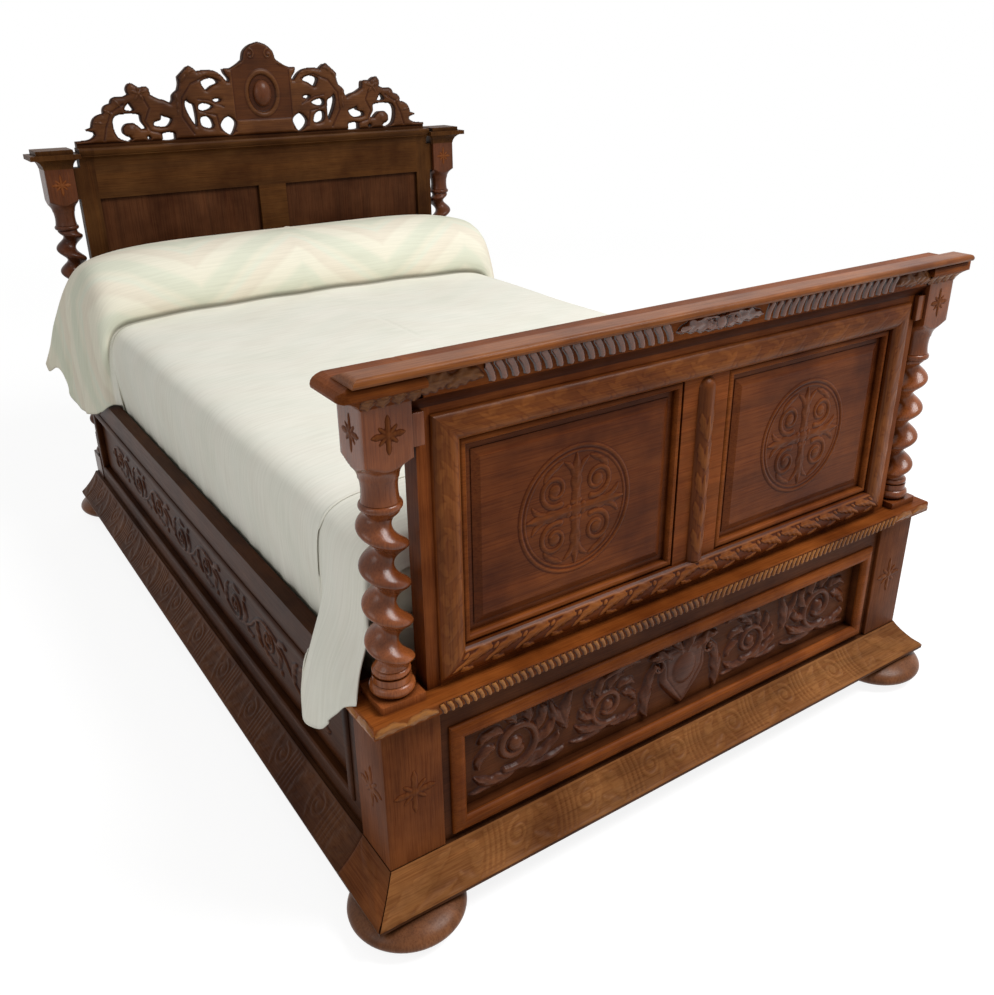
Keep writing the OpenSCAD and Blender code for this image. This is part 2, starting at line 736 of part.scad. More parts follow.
// Crest. Its drawings have x from the middle and z from the crest's foot, for the right half.
ear = curve([[52, 216], [71, 203], [94, 192], [117, 191]]);
notch = curve([[117, 191], [113, 178], [102, 163], [105, 154], [113, 156], [128, 173], [148, 185], [174, 188],
    [202, 185]]);
bud = curve([[202, 185], [212, 194], [224, 200], [236, 191], [258, 172]]);
leaf_edge = concat(curve([[258, 172], [258, 152], [264, 135]]), curve([[264, 135], [280, 122], [284, 106], [292, 98]]));
branch = curve([[292, 98], [310, 107], [328, 112], [350, 124]]);
flower = concat(curve([[350, 124], [352, 141], [360, 146], [380, 144]]), curve([[380, 144], [402, 157], [414, 143], [411, 127]]));
crockets = concat(curve([[411, 127], [430, 120], [448, 121], [460, 115], [465, 104]]),
    curve([[465, 104], [480, 99], [488, 90], [490, 77]]),
    curve([[490, 77], [508, 72], [522, 60], [529, 40]]));
hook = curve([[545, 35], [527, 29], [523, 19], [535, 9], [554, 5], [579, 4]]);
crest_edge = concat(curve([[0, 265], [25, 257], [45, 240], [52, 216]]), ear, notch, bud, leaf_edge,
    branch, flower, crockets, hook, [[579, -13]]);

module crest_outline() {
    last = len(crest_edge) - 1;
    polygon(concat(crest_edge, [for (i = [last : -1 : 1]) [-crest_edge[i][0], crest_edge[i][1]]]));
}

module opening(p) {
    polygon(curve(p, 3, true));
}

module crest_half_holes() {
    opening([[391, 74], [448, 75], [468, 60], [469, 32], [459, 8], [434, -3], [419, 2], [424, 10], [439, 18],
        [441, 32], [430, 45], [411, 47], [397, 37], [388, 29], [373, 32], [384, 51]]);
    opening([[430, 86], [425, 98], [414, 105], [408, 96], [402, 84], [416, 81]]);
    opening([[350, 37], [347, 50], [330, 55], [325, 68], [315, 64], [294, 56], [301, 40], [317, 32]]);
    opening([[331, 2], [329, 16], [310, 19], [291, 16], [289, 2], [291, -4], [310, -6], [329, -4]]);
    translate([370, 4]) circle(6);
    opening([[244, 109], [251, 92], [241, 60], [223, 30], [217, 43], [218, 78], [222, 94], [235, 100]]);
    opening([[193, 158], [172, 167], [149, 165], [138, 152], [158, 144], [177, 132], [188, 141]]);
    translate([149, 103]) polygon(oval([0, 0], 14, 6.5));
    opening([[211, 81], [205, 95], [186, 97], [163, 87], [175, 77], [198, 73]]);
    opening([[207, 55], [186, 59], [170, 46], [167, 25], [186, 22], [206, 31]]);
    opening([[147, 28], [135, 48], [117, 56], [97, 43], [94, 28], [111, -1], [133, 7]]);
}

module crest_plate() {
    difference() {
        crest_outline();
        crest_half_holes();
        mirror([1, 0]) crest_half_holes();
    }
}

module crest_body() {
    z = crest_z + crest_base_h;
    translate([0, 0, z]) scale(crest_k) upright(0, crest_t / crest_k) crest_plate();
}

// Carved work on the crest's face: rolled stems, leaves, the bud and the flower
module crest_bands() {
    scale(crest_k) for (s = [-1, 1]) mirror([s < 0 ? 1 : 0, 0]) intersection() {
        difference() {
            crest_outline();
            crest_half_holes();
        }
        union() {
            stem(curve([[232, 8], [266, 60], [262, 120], [228, 160], [176, 178], [132, 160], [120, 130]]), 14, 8);
            stem(curve([[96, 8], [152, 14], [158, 64], [196, 66], [214, 60]]), 12, 7);
            stem(curve([[212, 112], [176, 108], [128, 84], [112, 76]]), 16, 8);
            stem(curve([[300, 6], [368, 22], [380, 50], [360, 90], [376, 122]]), 14, 10);
            stem(curve([[500, 4], [490, 40], [470, 82], [430, 104], [404, 112]]), 14, 8);
            stem(curve([[292, 88], [318, 92], [352, 104], [372, 116]]), 8, 14);
            translate([420, 27]) circle(16);
            translate([384, 134]) for (a = [0 : 72 : 288]) rotate(a + 18) leaf(22, 13);
            translate([230, 178]) rotate(-42) translate([-14, 0]) leaf(44, 26);
            translate([270, 104]) rotate(100) translate([-34, 0]) leaf(62, 20);
            translate([64, 194]) rotate(-6) leaf(44, 16);
            for (p = [[448, 104, 50], [476, 80, 30], [505, 52, 10]])
                translate([p[0], p[1]]) rotate(p[2]) translate([-10, 0]) leaf(30, 14);
            translate([100, 116]) circle(12);
            stem(curve([[30, 262], [44, 226], [20, 214], [0, 212]]), 8, 10);
        }
    }
}

module crest_relief_body() {
    difference() {
        upright(-crest_relief, crest_relief) crest_bands();
        translate([-900, -50, -60]) cube([1800, 100, 60]);
    }
}

module on_crest() {
    translate([0, crest_y, crest_z + crest_base_h]) children();
}

module cartouche_boss() {
    rim = 14;
    upright(-crest_relief, crest_relief) scale(crest_k) difference() {
        polygon(oval([0, 118], 62, 74));
        polygon(oval([0, 118], 62 - rim, 74 - rim));
    }
    intersection() {
        translate([0, 0, 118 * crest_k]) scale([30, 21, 40]) sphere(1, $fn = 28);
        translate([-40, -30, 0]) cube([80, 30, 300]);
    }
}

// Side rails
module rail_board() {
    y0 = post_d;
    translate([rail_in, y0, post_z]) cube([rail_t - rail_sink, rail_len, rail_top - post_z]);
    difference() {
        translate([rail_x - rail_sink, y0, post_z]) cube([rail_sink, rail_len, rail_top - post_z]);
        translate([rail_x - rail_sink - 1, y0 + 60, rail_field_z]) cube([rail_sink + 2, rail_len - 120, rail_field_h]);
    }
}

module rail_moulding() {
    b = 20;
    translate([rail_x, post_d + rail_len / 2, rail_field_z + rail_field_h / 2]) rotate([90, 0, 90])
        mitred_frame(rail_len - 120, rail_field_h, b, 6) bolection(b, 6);
}

module rail_carving() {
    n = floor((rail_len - 200) / 250);
    first = post_d + rail_len / 2 - (n - 1) * 125;
    for (i = [0 : n - 1])
        translate([rail_x - rail_sink, first + i * 250, rail_field_z + rail_field_h / 2]) rotate([90, 0, 90])
            mirror([0, i % 2, 0]) scroll_spray(0.66, rail_relief);
}

module ledger_body() {
    translate([rail_in - ledger_w, post_d + 20, slat_top - slat_t - ledger_h])
        cube([ledger_w, rail_len - 40, ledger_h]);
}

module slat(i) {
    pitch = (rail_len - 120 - slat_w) / (slat_n - 1);
    translate([-rail_in + 3, post_d + 60 + i * pitch, slat_top - slat_t]) cube([2 * rail_in - 6, slat_w, slat_t]);
}

// Bedding
module padded_block(x, y0, y1, z, h, r) {
    intersection() {
        upright(y0, y1 - y0) rounded(-x, z, 2 * x, h, r);
        run_x(-x, x) rounded(y0, z, y1 - y0, h, r);
    }
}

module rounded(x, z, w, h, r) {
    translate([x + r, z]) square([w - 2 * r, h]);
    translate([x, z + r]) square([w, h - 2 * r]);
    for (i = [0, 1], j = [0, 1]) translate([x + r + i * (w - 2 * r), z + r + j * (h - 2 * r)]) circle(r);
}

module bolster_body() {
    w = mattress_x - 30;
    a = bolster_d / 2;
    up = bolster_h * 0.6;
    z = mattress_top + clr;
    intersection() {
        run_x(-w, w) translate([bolster_y + a, z + bolster_h - up]) intersection() {
            polygon(oval([0, 0], a, up, 36));
            translate([-a, up - bolster_h]) square([2 * a, bolster_h]);
        }
        upright(bolster_y, bolster_d) rounded(-w, z, 2 * w, bolster_h + 80, 80);
    }
}

// Bedspread. Half sections from the middle of the top to the hem, x outwards and z up.
top_z = mattress_top + clr + cloth_t + 14;
side_sec = [[0, top_z], [0.32, top_z - 1], [0.62, top_z - 5], [0.84, top_z - 12], [0.945, top_z - 26],
    [0.985, top_z - 60], [0.995, top_z - 130], [0.99, top_z - 215], [0.985, top_z - 300]];
spread_x = rail_in - 1;

short_drop = [[0.995, rail_top + 130], [0.99, rail_top + 70], [0.985, rail_top + 16]];
lip_drop = [[1.005, rail_top + 140], [1.035, rail_top + 75], [1.085, rail_top + 20]];
flap_drop = [[1.02, rail_top + 110], [1.085, rail_top + 14], [1.135, rail_top - 105]];
short_flap = [[0, 0], [-0.01, 6], [-0.02, 62]];
flap_end = [[0, 0], [0, 10], [0.005, 60]];
over_z = mattress_top + bolster_h + 37;
head_sec = [[0, over_z], [0.32, over_z - 2], [0.64, over_z - 8], [0.86, over_z - 18], [1.0, over_z - 42],
    [1.09, over_z - 100], [1.145, over_z - 180], [1.185, over_z - 260], [1.22, over_z - 335]];
fall_sec = [[0, top_z], [0.32, top_z - 1], [0.62, top_z - 3], [0.86, top_z - 6], [0.98, top_z - 14],
    [1.06, top_z - 48], [1.12, top_z - 110], [1.165, top_z - 170], [1.19, top_z - 215]];

function with_drop(drop) = concat([for (i = [0 : 5]) side_sec[i]], drop);
function mix_sec(a, b, t) = [for (i = [0 : 8]) a[i] * (1 - t) + b[i] * t];

// Half section at y, with soft folds in the drop
function sec_at(y) =
    y < 150 ? mix_sec(with_drop(flap_drop + short_flap), with_drop(flap_drop), (y - bed_y0 + 4) / (154 - bed_y0)) :
    y < 250 ? with_drop(flap_drop) :
    y < 290 ? mix_sec(with_drop(flap_drop), with_drop(flap_drop + flap_end), (y - 250) / 40) :
    y < 320 ? mix_sec(with_drop(flap_drop + flap_end), with_drop(lip_drop), (y - 290) / 30) :
    y < 370 ? mix_sec(with_drop(lip_drop), with_drop(short_drop), (y - 320) / 50) :
    y < 430 ? mix_sec(with_drop(short_drop), side_sec, (y - 370) / 60) :
    y < crease_y - 234 ? side_sec :
    y < crease_y - 174 ? mix_sec(side_sec, with_drop(short_drop), (y - crease_y + 234) / 60) :
    y < crease_y - 124 ? mix_sec(with_drop(short_drop), fall_sec, (y - crease_y + 174) / 50) :
    y < crease_y ? fall_sec :
    mix_sec(fall_sec, head_sec, sqrt(1 - pow(1 - min(1, (y - crease_y) / 150), 2)));

spread_ys = concat([bed_y0 - 8, bed_y0 - 4], [150, 180, 215, 250, 270, 290, 320, 345, 370, 400, 430],
    [for (i = [1 : 7]) 430 + i * (crease_y - 234 - 430) / 8],
    [for (d = [-234, -204, -174, -124, -74, -34, 0, 5, 18, 42, 80, 150, 200, 256, 300, 332]) crease_y + d]);

// Outer half section with ripples, then the lining a cloth's thickness inside it
function ripple(y, k) = (k > 5 ? 1 : 0) * 4 * sin(y * 1.7 + k * 20) * (k - 5) / 3;
function back_fall(y) = y > crease_y + 256 ? pow((y - crease_y - 256) / 76, 2) * 50 : 0;
function foot_fall(y) = y < bed_y0 - 6 ? 60 : 0;
function outer_pt(y, k) =
    let (p = sec_at(y)[k])
    [p[0] * spread_x + ripple(y, k), p[1] - (k < 6 ? back_fall(y) + foot_fall(y) : 0)];
function inner_pt(y, k) =
    let (p = outer_pt(y, k), q = outer_pt(y, max(0, k - 1)), r = outer_pt(y, min(8, k + 1)),
        d = r - q, n = [-d[1], d[0]] / norm(d))
    k == 0 ? [0, p[1] - cloth_t] : p - n * cloth_t;

function ring_at(y) = concat(
    [for (k = [8 : -1 : 1]) let (p = outer_pt(y, k)) [-p[0], y, p[1]]],
    [for (k = [0 : 8]) let (p = outer_pt(y, k)) [p[0], y, p[1]]],
    [for (k = [8 : -1 : 0]) let (p = inner_pt(y, k)) [p[0], y, p[1]]],
    [for (k = [1 : 8]) let (p = inner_pt(y, k)) [-p[0], y, p[1]]]);

module spread_body() {
    n = 34;
    m = len(spread_ys);
    pts = [for (y = spread_ys) each ring_at(y)];
    o = (m - 1) * n;
    faces = concat(
        [for (j = [0 : m - 2], i = [0 : n - 1]) let (a = j * n + i, b = j * n + (i + 1) % n)
            each [[a, b, a + n], [b, b + n, a + n]]],
        [for (i = [0 : n / 2 - 2]) each [[i, n - 1 - i, i + 1], [i + 1, n - 1 - i, n - 2 - i]]],
        [for (i = [0 : n / 2 - 2])
            each [[o + i, o + i + 1, o + n - 1 - i], [o + i + 1, o + n - 2 - i, o + n - 1 - i]]]);
    polyhedron(pts, faces, convexity = 6);
}

module bun_foot_front_left() { color(walnut_dark) place() bun_foot(-bun_x, front_foot_y); }
module bun_foot_front_right() { color(walnut_dark) place() bun_foot(bun_x, front_foot_y); }
module bun_foot_rear_left() { color(walnut_dark) place() bun_foot(-bun_x, rear_foot_y); }
module bun_foot_rear_right() { color(walnut_dark) place() bun_foot(bun_x, rear_foot_y); }
module foot_plinth() { color(walnut) place() foot_plinth_body(); }
module foot_post_left() { color(walnut) place() side(-1) low_post(); }
module foot_post_right() { color(walnut) place() side(1) low_post(); }
module foot_lower_panel() { color(walnut) place() low_board(); }
module foot_lower_moulding() { color(walnut_light) place() low_moulding(); }
module foot_lower_carving() { color(walnut_light) place() low_carving(); }
module foot_ledge() { color(walnut_light) place() ledge_board(); }
module foot_ledge_gadroons() { color(walnut_light) place() ledge_gadroon_row(); }
module foot_column_left() { color(walnut) place() foot_column(-1); }
module foot_column_right() { color(walnut) place() foot_column(1); }
module foot_frame() { color(walnut) place() panel_frame_board(); }
module foot_leaf_moulding() {
    color(walnut_light) place() on_face(0, frame_set, field_cz)
        mitred_frame(2 * open_x, field_h, leaf_b, leaf_out) bolection(leaf_b, leaf_out);
}
module foot_panel_left() { color(walnut) place() on_field(-1, panel_sink) field_panel(); }
module foot_panel_right() { color(walnut) place() on_field(1, panel_sink) field_panel(); }
module foot_bead_left() { color(walnut) place() on_field(-1, panel_sink) field_bead(); }
module foot_bead_right() { color(walnut) place() on_field(1, panel_sink) field_bead(); }
module foot_wheel_left() { color(walnut_light) place() on_field(-1, panel_sink * 0.4) wheel(); }
module foot_wheel_right() { color(walnut_light) place() on_field(1, panel_sink * 0.4) wheel(); }
module foot_staff() { color(walnut_light) place() staff(); }
module foot_frieze() { color(walnut_dark) place() run_x(-cap_x0, cap_x0) frieze_profile(); }
module foot_cornice() { color(walnut) place() run_x(-cap_x0 + cap_inner, cap_x0 - cap_inner) cornice_profile(); }
module foot_gadroons() { color(walnut_light) place() gadroon_row(); }
module foot_cap_left() { color(walnut) place() foot_cap_body(-1); }
module foot_cap_right() { color(walnut) place() foot_cap_body(1); }
module foot_top_board() { color(walnut) place() top_board(); }
module head_column_left() { color(walnut) place() head_column(-1); }
module head_column_right() { color(walnut) place() head_column(1); }
module headboard_frame() { color(walnut) place() headboard_frame_board(); }
module headboard_panel_left() { color(walnut_dark) place() head_panel(-1); }
module headboard_panel_right() { color(walnut_dark) place() head_panel(1); }
module head_cap_left() { color(walnut) place() head_cap_body(-1); }
module head_cap_right() { color(walnut) place() head_cap_body(1); }
module head_cornice() { color(walnut) place() head_cornice_body(); }
module crest() { color(walnut) place() translate([0, crest_y, 0]) crest_body(); }
module crest_scrolls() { color(walnut_light) place() on_crest() crest_relief_body(); }
module crest_boss() { color(walnut_light) place() on_crest() cartouche_boss(); }
module side_rail_left() { color(walnut) place() side(-1) rail_board(); }
module side_rail_right() { color(walnut) place() side(1) rail_board(); }
module rail_moulding_left() { color(walnut) place() side(-1) rail_moulding(); }
module rail_moulding_right() { color(walnut) place() side(1) rail_moulding(); }
module rail_carving_left() { color(walnut_light) place() side(-1) rail_carving(); }
module rail_carving_right() { color(walnut_light) place() side(1) rail_carving(); }
module rail_plinth_left() { color(walnut) place() side(-1) plinth_side(post_d, bed_l); }
module rail_plinth_right() { color(walnut) place() side(1) plinth_side(post_d, bed_l); }
module ledger_left() { color(pine) place() side(-1) ledger_body(); }
module ledger_right() { color(pine) place() side(1) ledger_body(); }
module slats() { color(pine) place() for (i = [0 : slat_n - 1]) slat(i); }
module box_spring() { color(ticking) place() padded_block(mattress_x, bed_y0, bed_y1, spring_z, spring_t, 12); }
module mattress() { color(ticking) place() padded_block(mattress_x, bed_y0, bed_y1, mattress_z, mattress_t, 56); }
module bolster() { color(linen) place() bolster_body(); }
module bedspread() { color(linen) place() spread_body(); }

bun_foot_front_left();
bun_foot_front_right();
bun_foot_rear_left();
bun_foot_rear_right();
foot_plinth();
foot_post_left();
foot_post_right();
foot_lower_panel();
foot_lower_moulding();
foot_lower_carving();
foot_ledge();
foot_ledge_gadroons();
foot_column_left();
foot_column_right();
foot_frame();
foot_leaf_moulding();
foot_panel_left();
foot_panel_right();
foot_bead_left();
foot_bead_right();
foot_wheel_left();
foot_wheel_right();
foot_staff();
foot_frieze();
foot_cornice();
foot_gadroons();
foot_cap_left();
foot_cap_right();
foot_top_board();
head_column_left();
head_column_right();
headboard_frame();
headboard_panel_left();
headboard_panel_right();
head_cap_left();
head_cap_right();
head_cornice();
crest();
crest_scrolls();
crest_boss();
side_rail_left();
side_rail_right();
rail_moulding_left();
rail_moulding_right();
rail_carving_left();
rail_carving_right();
rail_plinth_left();
rail_plinth_right();
ledger_left();
ledger_right();
slats();
box_spring();
mattress();
bolster();
bedspread();
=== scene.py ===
import math

import bpy
import numpy as np
from mathutils import Matrix, Vector
from mathutils.bvhtree import BVHTree


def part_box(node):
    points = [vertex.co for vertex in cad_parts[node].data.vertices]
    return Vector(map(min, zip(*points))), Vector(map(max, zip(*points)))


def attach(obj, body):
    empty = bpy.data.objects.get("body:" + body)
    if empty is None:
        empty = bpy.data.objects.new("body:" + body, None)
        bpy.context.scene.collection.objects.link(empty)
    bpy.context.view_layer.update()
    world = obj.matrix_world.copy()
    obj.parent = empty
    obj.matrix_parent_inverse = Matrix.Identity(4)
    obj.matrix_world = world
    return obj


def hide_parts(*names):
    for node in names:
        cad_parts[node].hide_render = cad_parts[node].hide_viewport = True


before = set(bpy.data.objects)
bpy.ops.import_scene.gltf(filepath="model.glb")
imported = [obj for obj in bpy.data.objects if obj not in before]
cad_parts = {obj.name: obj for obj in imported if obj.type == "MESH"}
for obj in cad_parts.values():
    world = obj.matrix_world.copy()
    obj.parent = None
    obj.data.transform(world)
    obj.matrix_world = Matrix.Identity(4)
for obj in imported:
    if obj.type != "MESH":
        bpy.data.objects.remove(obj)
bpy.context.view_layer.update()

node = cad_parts
MM = 0.001


def span(name):
    """The low and the high corner of a CAD node's box, in millimetres."""
    return [[c / MM for c in corner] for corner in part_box(name)]


# Camera, where the photographer stood: off the left corner of the foot end and a little above it.
# Its place and turn come from a fit to the bed's own corners.
post_front = span("foot_frame")[0][1] - 18
camera_data = bpy.data.cameras.new("photographer")
camera_data.lens = 35.08
camera_data.shift_x = -0.0104
camera_data.shift_y = -0.0199
camera_data.clip_end = 40
camera = bpy.data.objects.new("photographer", camera_data)
bpy.context.collection.objects.link(camera)
azimuth, elevation, roll = math.radians(-34.116), math.radians(24.292), math.radians(-0.41)
backwards = Vector((math.sin(azimuth) * math.cos(elevation), -math.cos(azimuth) * math.cos(elevation),
    math.sin(elevation)))
level = Vector((0, 0, 1)).cross(backwards).normalized()
upright = backwards.cross(level)
to_right = math.cos(roll) * level + math.sin(roll) * upright
to_top = math.cos(roll) * upright - math.sin(roll) * level
camera.rotation_mode = "QUATERNION"
camera.rotation_quaternion = Matrix((to_right, to_top, backwards)).transposed().to_quaternion()
camera.location = (-1.2145, post_front * MM - 1.1387, 1.4304)
bpy.context.scene.camera = camera


# Bun feet, turned from solid oak, stained dark and waxed, dowelled up into the plinth.
# Each stands on the floor on a small flat.
def linear(code):
    """A colour written as sRGB hex, as the linear values that Blender takes."""
    parts = [int(code[i : i + 2], 16) / 255 for i in (1, 3, 5)]
    return [c / 12.92 if c <= 0.04045 else ((c + 0.055) / 1.055) ** 2.4 for c in parts] + [1]


def shaded(code, share):
    """A hex colour made darker or lighter by a share."""
    return "#" + "".join("%02x" % min(255, round(int(code[i : i + 2], 16) * share)) for i in (1, 3, 5))


def add_node(tree, kind, inputs=None, **settings):
    """Adds a shader node; each of its inputs is a value or another node's socket."""
    made = tree.nodes.new("ShaderNode" + kind)
    for key, value in settings.items():
        setattr(made, key, value)
    for key, value in (inputs or {}).items():
        if isinstance(value, bpy.types.NodeSocket):
            tree.links.new(value, made.inputs[key])
        else:
            made.inputs[key].default_value = value
    return made


def blank_material(name):
    made = bpy.data.materials.new(name)
    made.use_nodes = True
    made.node_tree.nodes.clear()
    return made, made.node_tree


def tones(tree, value, *stops):
    """A colour ramp over value; each stop is a place from 0 to 1 and a hex colour."""
    made = add_node(tree, "ValToRGB", {"Fac": value})
    places = made.color_ramp.elements
    while len(places) < len(stops):
        places.new(0.5)
    for element, (place, colour) in zip(places, stops):
        element.position = place
        element.color = linear(colour)
    return made.outputs["Color"]


def mixed(tree, how, share, below, above):
    """Lays one colour over another; share is a number or a socket."""
    made = add_node(tree, "Mix", {0: share, 6: below, 7: above}, data_type="RGBA", blend_type=how)
    return made.outputs[2]


def reckoned(tree, how, a, b=0.0):
    return add_node(tree, "Math", {0: a, 1: b}, operation=how).outputs[0]


def finish_surface(tree, colour, rough, height, depth, more):
    """Ends a material: its colour, roughness, bumps of a height pattern to a depth in metres, and more."""
    bumps = add_node(tree, "Bump", {"Height": height, "Strength": 0.3, "Distance": depth}).outputs["Normal"]
    inputs = {"Base Color": colour, "Roughness": rough, "Normal": bumps, **more}
    shader = add_node(tree, "BsdfPrincipled", inputs)
    add_node(tree, "OutputMaterial", {"Surface": shader.outputs["BSDF"]})


def oak(name, mid, grain, gloss=0.4, shine=0.05, carved=False, stile_x=None):
    """Stained oak with its figure along the grain, open pores, dirt and painted shade in its corners and
    hollows, edges and carved tops lightened by wear and by painted highlights, and a satin wax. Beyond
    stile_x from the middle the grain runs upright."""
    light = shaded(mid, 1.1)
    made, tree = blank_material(name)
    place = add_node(tree, "TexCoord").outputs["Object"]
    if stile_x:
        x, y, z = add_node(tree, "SeparateXYZ", {"Vector": place}).outputs
        on_stile = reckoned(tree, "GREATER_THAN", reckoned(tree, "ABSOLUTE", x), stile_x * MM)
        upended = add_node(tree, "CombineXYZ", {"X": z, "Y": y, "Z": x}).outputs["Vector"]
        place = mixed(tree, "MIX", on_stile, place, upended)

    def streaks(across, along, detail, twist=0.0):
        scale = [along if axis == grain else across for axis in "xyz"]
        drawn = add_node(tree, "Mapping", {"Vector": place, "Scale": scale}).outputs["Vector"]
        inputs = {"Vector": drawn, "Scale": 1.0, "Detail": detail, "Roughness": 0.62, "Distortion": twist}
        return add_node(tree, "TexNoise", inputs).outputs["Fac"]

    figure = streaks(24, 1.7, 5, 0.7)
    fibres = streaks(380, 11, 3)
    clouds = add_node(tree, "TexNoise",
        {"Vector": place, "Scale": 5.0, "Detail": 4, "Roughness": 0.6}).outputs["Fac"]
    if carved:
        # This attribute holds a carving's painted shade in its hollows and painted highlights on its tops.
        height = add_node(tree, "Attribute", attribute_name="relief").outputs["Fac"]
        shade_and_dirt = tones(tree, height, (0.1, "#755a48"), (0.42, "#cbb29d"), (0.62, "#ffffff"))
        worn_and_highlit = tones(tree, height, (0.6, "#000000"), (0.95, "#ffffff"))
        patches = tones(tree, clouds, (0.3, "#303030"), (0.7, "#b0b0b0"))
    else:
        # Occlusion darkens corners and hollows: dirt, and painted shade; inside occlusion finds the edges to
        # lighten.
        hollow = add_node(tree, "AmbientOcclusion", {"Distance": 0.018}, samples=8).outputs["AO"]
        edge = add_node(tree, "AmbientOcclusion", {"Distance": 0.004}, samples=8, inside=True).outputs["AO"]
        shade_and_dirt = tones(tree, hollow, (0.3, "#6b5546"), (0.85, "#ffffff"))
        worn_and_highlit = tones(tree, edge, (0.35, "#ffffff"), (0.75, "#000000"))
        patches = tones(tree, clouds, (0.35, "#101010"), (0.65, "#a0a0a0"))
    colour = tones(tree, figure, (0.34, shaded(mid, 0.9)), (0.5, mid), (0.68, light))
    # The last of these layers paints shade, with dirt, into corners and hollows.
    for share, layer in ((0.6, tones(tree, fibres, (0.36, "#c4aea0"), (0.56, "#ffffff"))),
            (0.85, tones(tree, clouds, (0.34, "#a4907f"), (0.64, "#ffffff"))),
            (1.0 if carved else 0.85, shade_and_dirt)):
        colour = mixed(tree, "MULTIPLY", share, colour, layer)
    # Edges and carved tops are lightened: rubbed wear, and painted highlights.
    colour = mixed(tree, "MIX", mixed(tree, "MULTIPLY", 1.0, worn_and_highlit, patches), colour, linear(light))
    rough = add_node(tree, "MapRange",
        {"Value": fibres, "To Min": gloss + 0.12, "To Max": gloss - 0.06}).outputs["Result"]
    finish_surface(tree, colour, rough, fibres, 0.0007, {"Specular IOR Level": shine})
    return made


def fresh(name):
    """The primitive that was just made, under its name."""
    made = bpy.context.object
    made.name = made.data.name = name
    return made


def moulded(made, move):
    """Moves a piece's points by a function of their places, in metres, and smooths it."""
    points = np.empty(len(made.data.vertices) * 3)
    made.data.vertices.foreach_get("co", points)
    made.data.vertices.foreach_set("co", move(points.reshape(-1, 3)).ravel())
    made.data.update()
    bpy.ops.object.shade_smooth()
    return made


def formed(name, across, along, shape):
    """A grid of across by along faces, bent to shape(a, b) in millimetres; a and b run from 0 to 1."""
    bpy.ops.object.select_all(action="DESELECT")
    bpy.ops.mesh.primitive_grid_add(x_subdivisions=across, y_subdivisions=along, size=1)
    return moulded(fresh(name), lambda p: np.stack(shape(p[:, 0] + 0.5, p[:, 1] + 0.5), axis=1) * MM)


def close_seams(piece, angle):
    """Joins the edges of a grid that was bent right round, and smooths it up to an angle in degrees."""
    bpy.ops.object.mode_set(mode="EDIT")
    bpy.ops.mesh.select_all(action="SELECT")
    bpy.ops.mesh.remove_doubles(threshold=0.00003)
    bpy.ops.mesh.normals_make_consistent(inside=False)
    bpy.ops.object.mode_set(mode="OBJECT")
    bpy.ops.object.shade_smooth_by_angle(angle=math.radians(angle))


def dress(piece, material, slot_name, *stands_for):
    """Gives a piece its finish, fixes it to the bed and hides the CAD nodes it stands for; slot_name is not
    used.
    """
    piece.data.materials.clear()
    piece.data.materials.append(material)
    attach(piece, "root")
    if stands_for:
        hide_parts(*stands_for)


def refinish(material, *names):
    """Gives CAD nodes their finish on their own slots."""
    for name in names:
        for place in node[name].material_slots:
            place.material = material


SIDES = (("left", -1), ("right", 1))
turned_oak = oak("dark waxed turned oak", "#7d5032", "z", gloss=0.3, shine=0.15)


def bun_foot(name):
    low, high = span(name)
    x, y = (low[0] + high[0]) / 2, (low[1] + high[1]) / 2
    radius, height, flat = (high[0] - low[0]) / 2, high[2] - low[2], 17
    end = 0.08

    def shape(a, b):
        lean = np.clip((b - end) / (1 - 2 * end), 0, 1) * math.pi - math.pi / 2
        inner = np.minimum(b, 1 - b) / end
        r = np.where(inner < 1, flat * inner, flat + (radius - flat) * np.cos(lean))
        turn = a * 2 * math.pi
        return x + r * np.cos(turn), y + r * np.sin(turn), height / 2 + height / 2 * np.sin(lean)

    made = formed("turned_" + name, 72, 30, shape)
    close_seams(made, 60)
    dress(made, turned_oak, "dark_oak", name)


for end in ("front", "rear"):
    for hand, s in SIDES:
        bun_foot("bun_foot_" + end + "_" + hand)


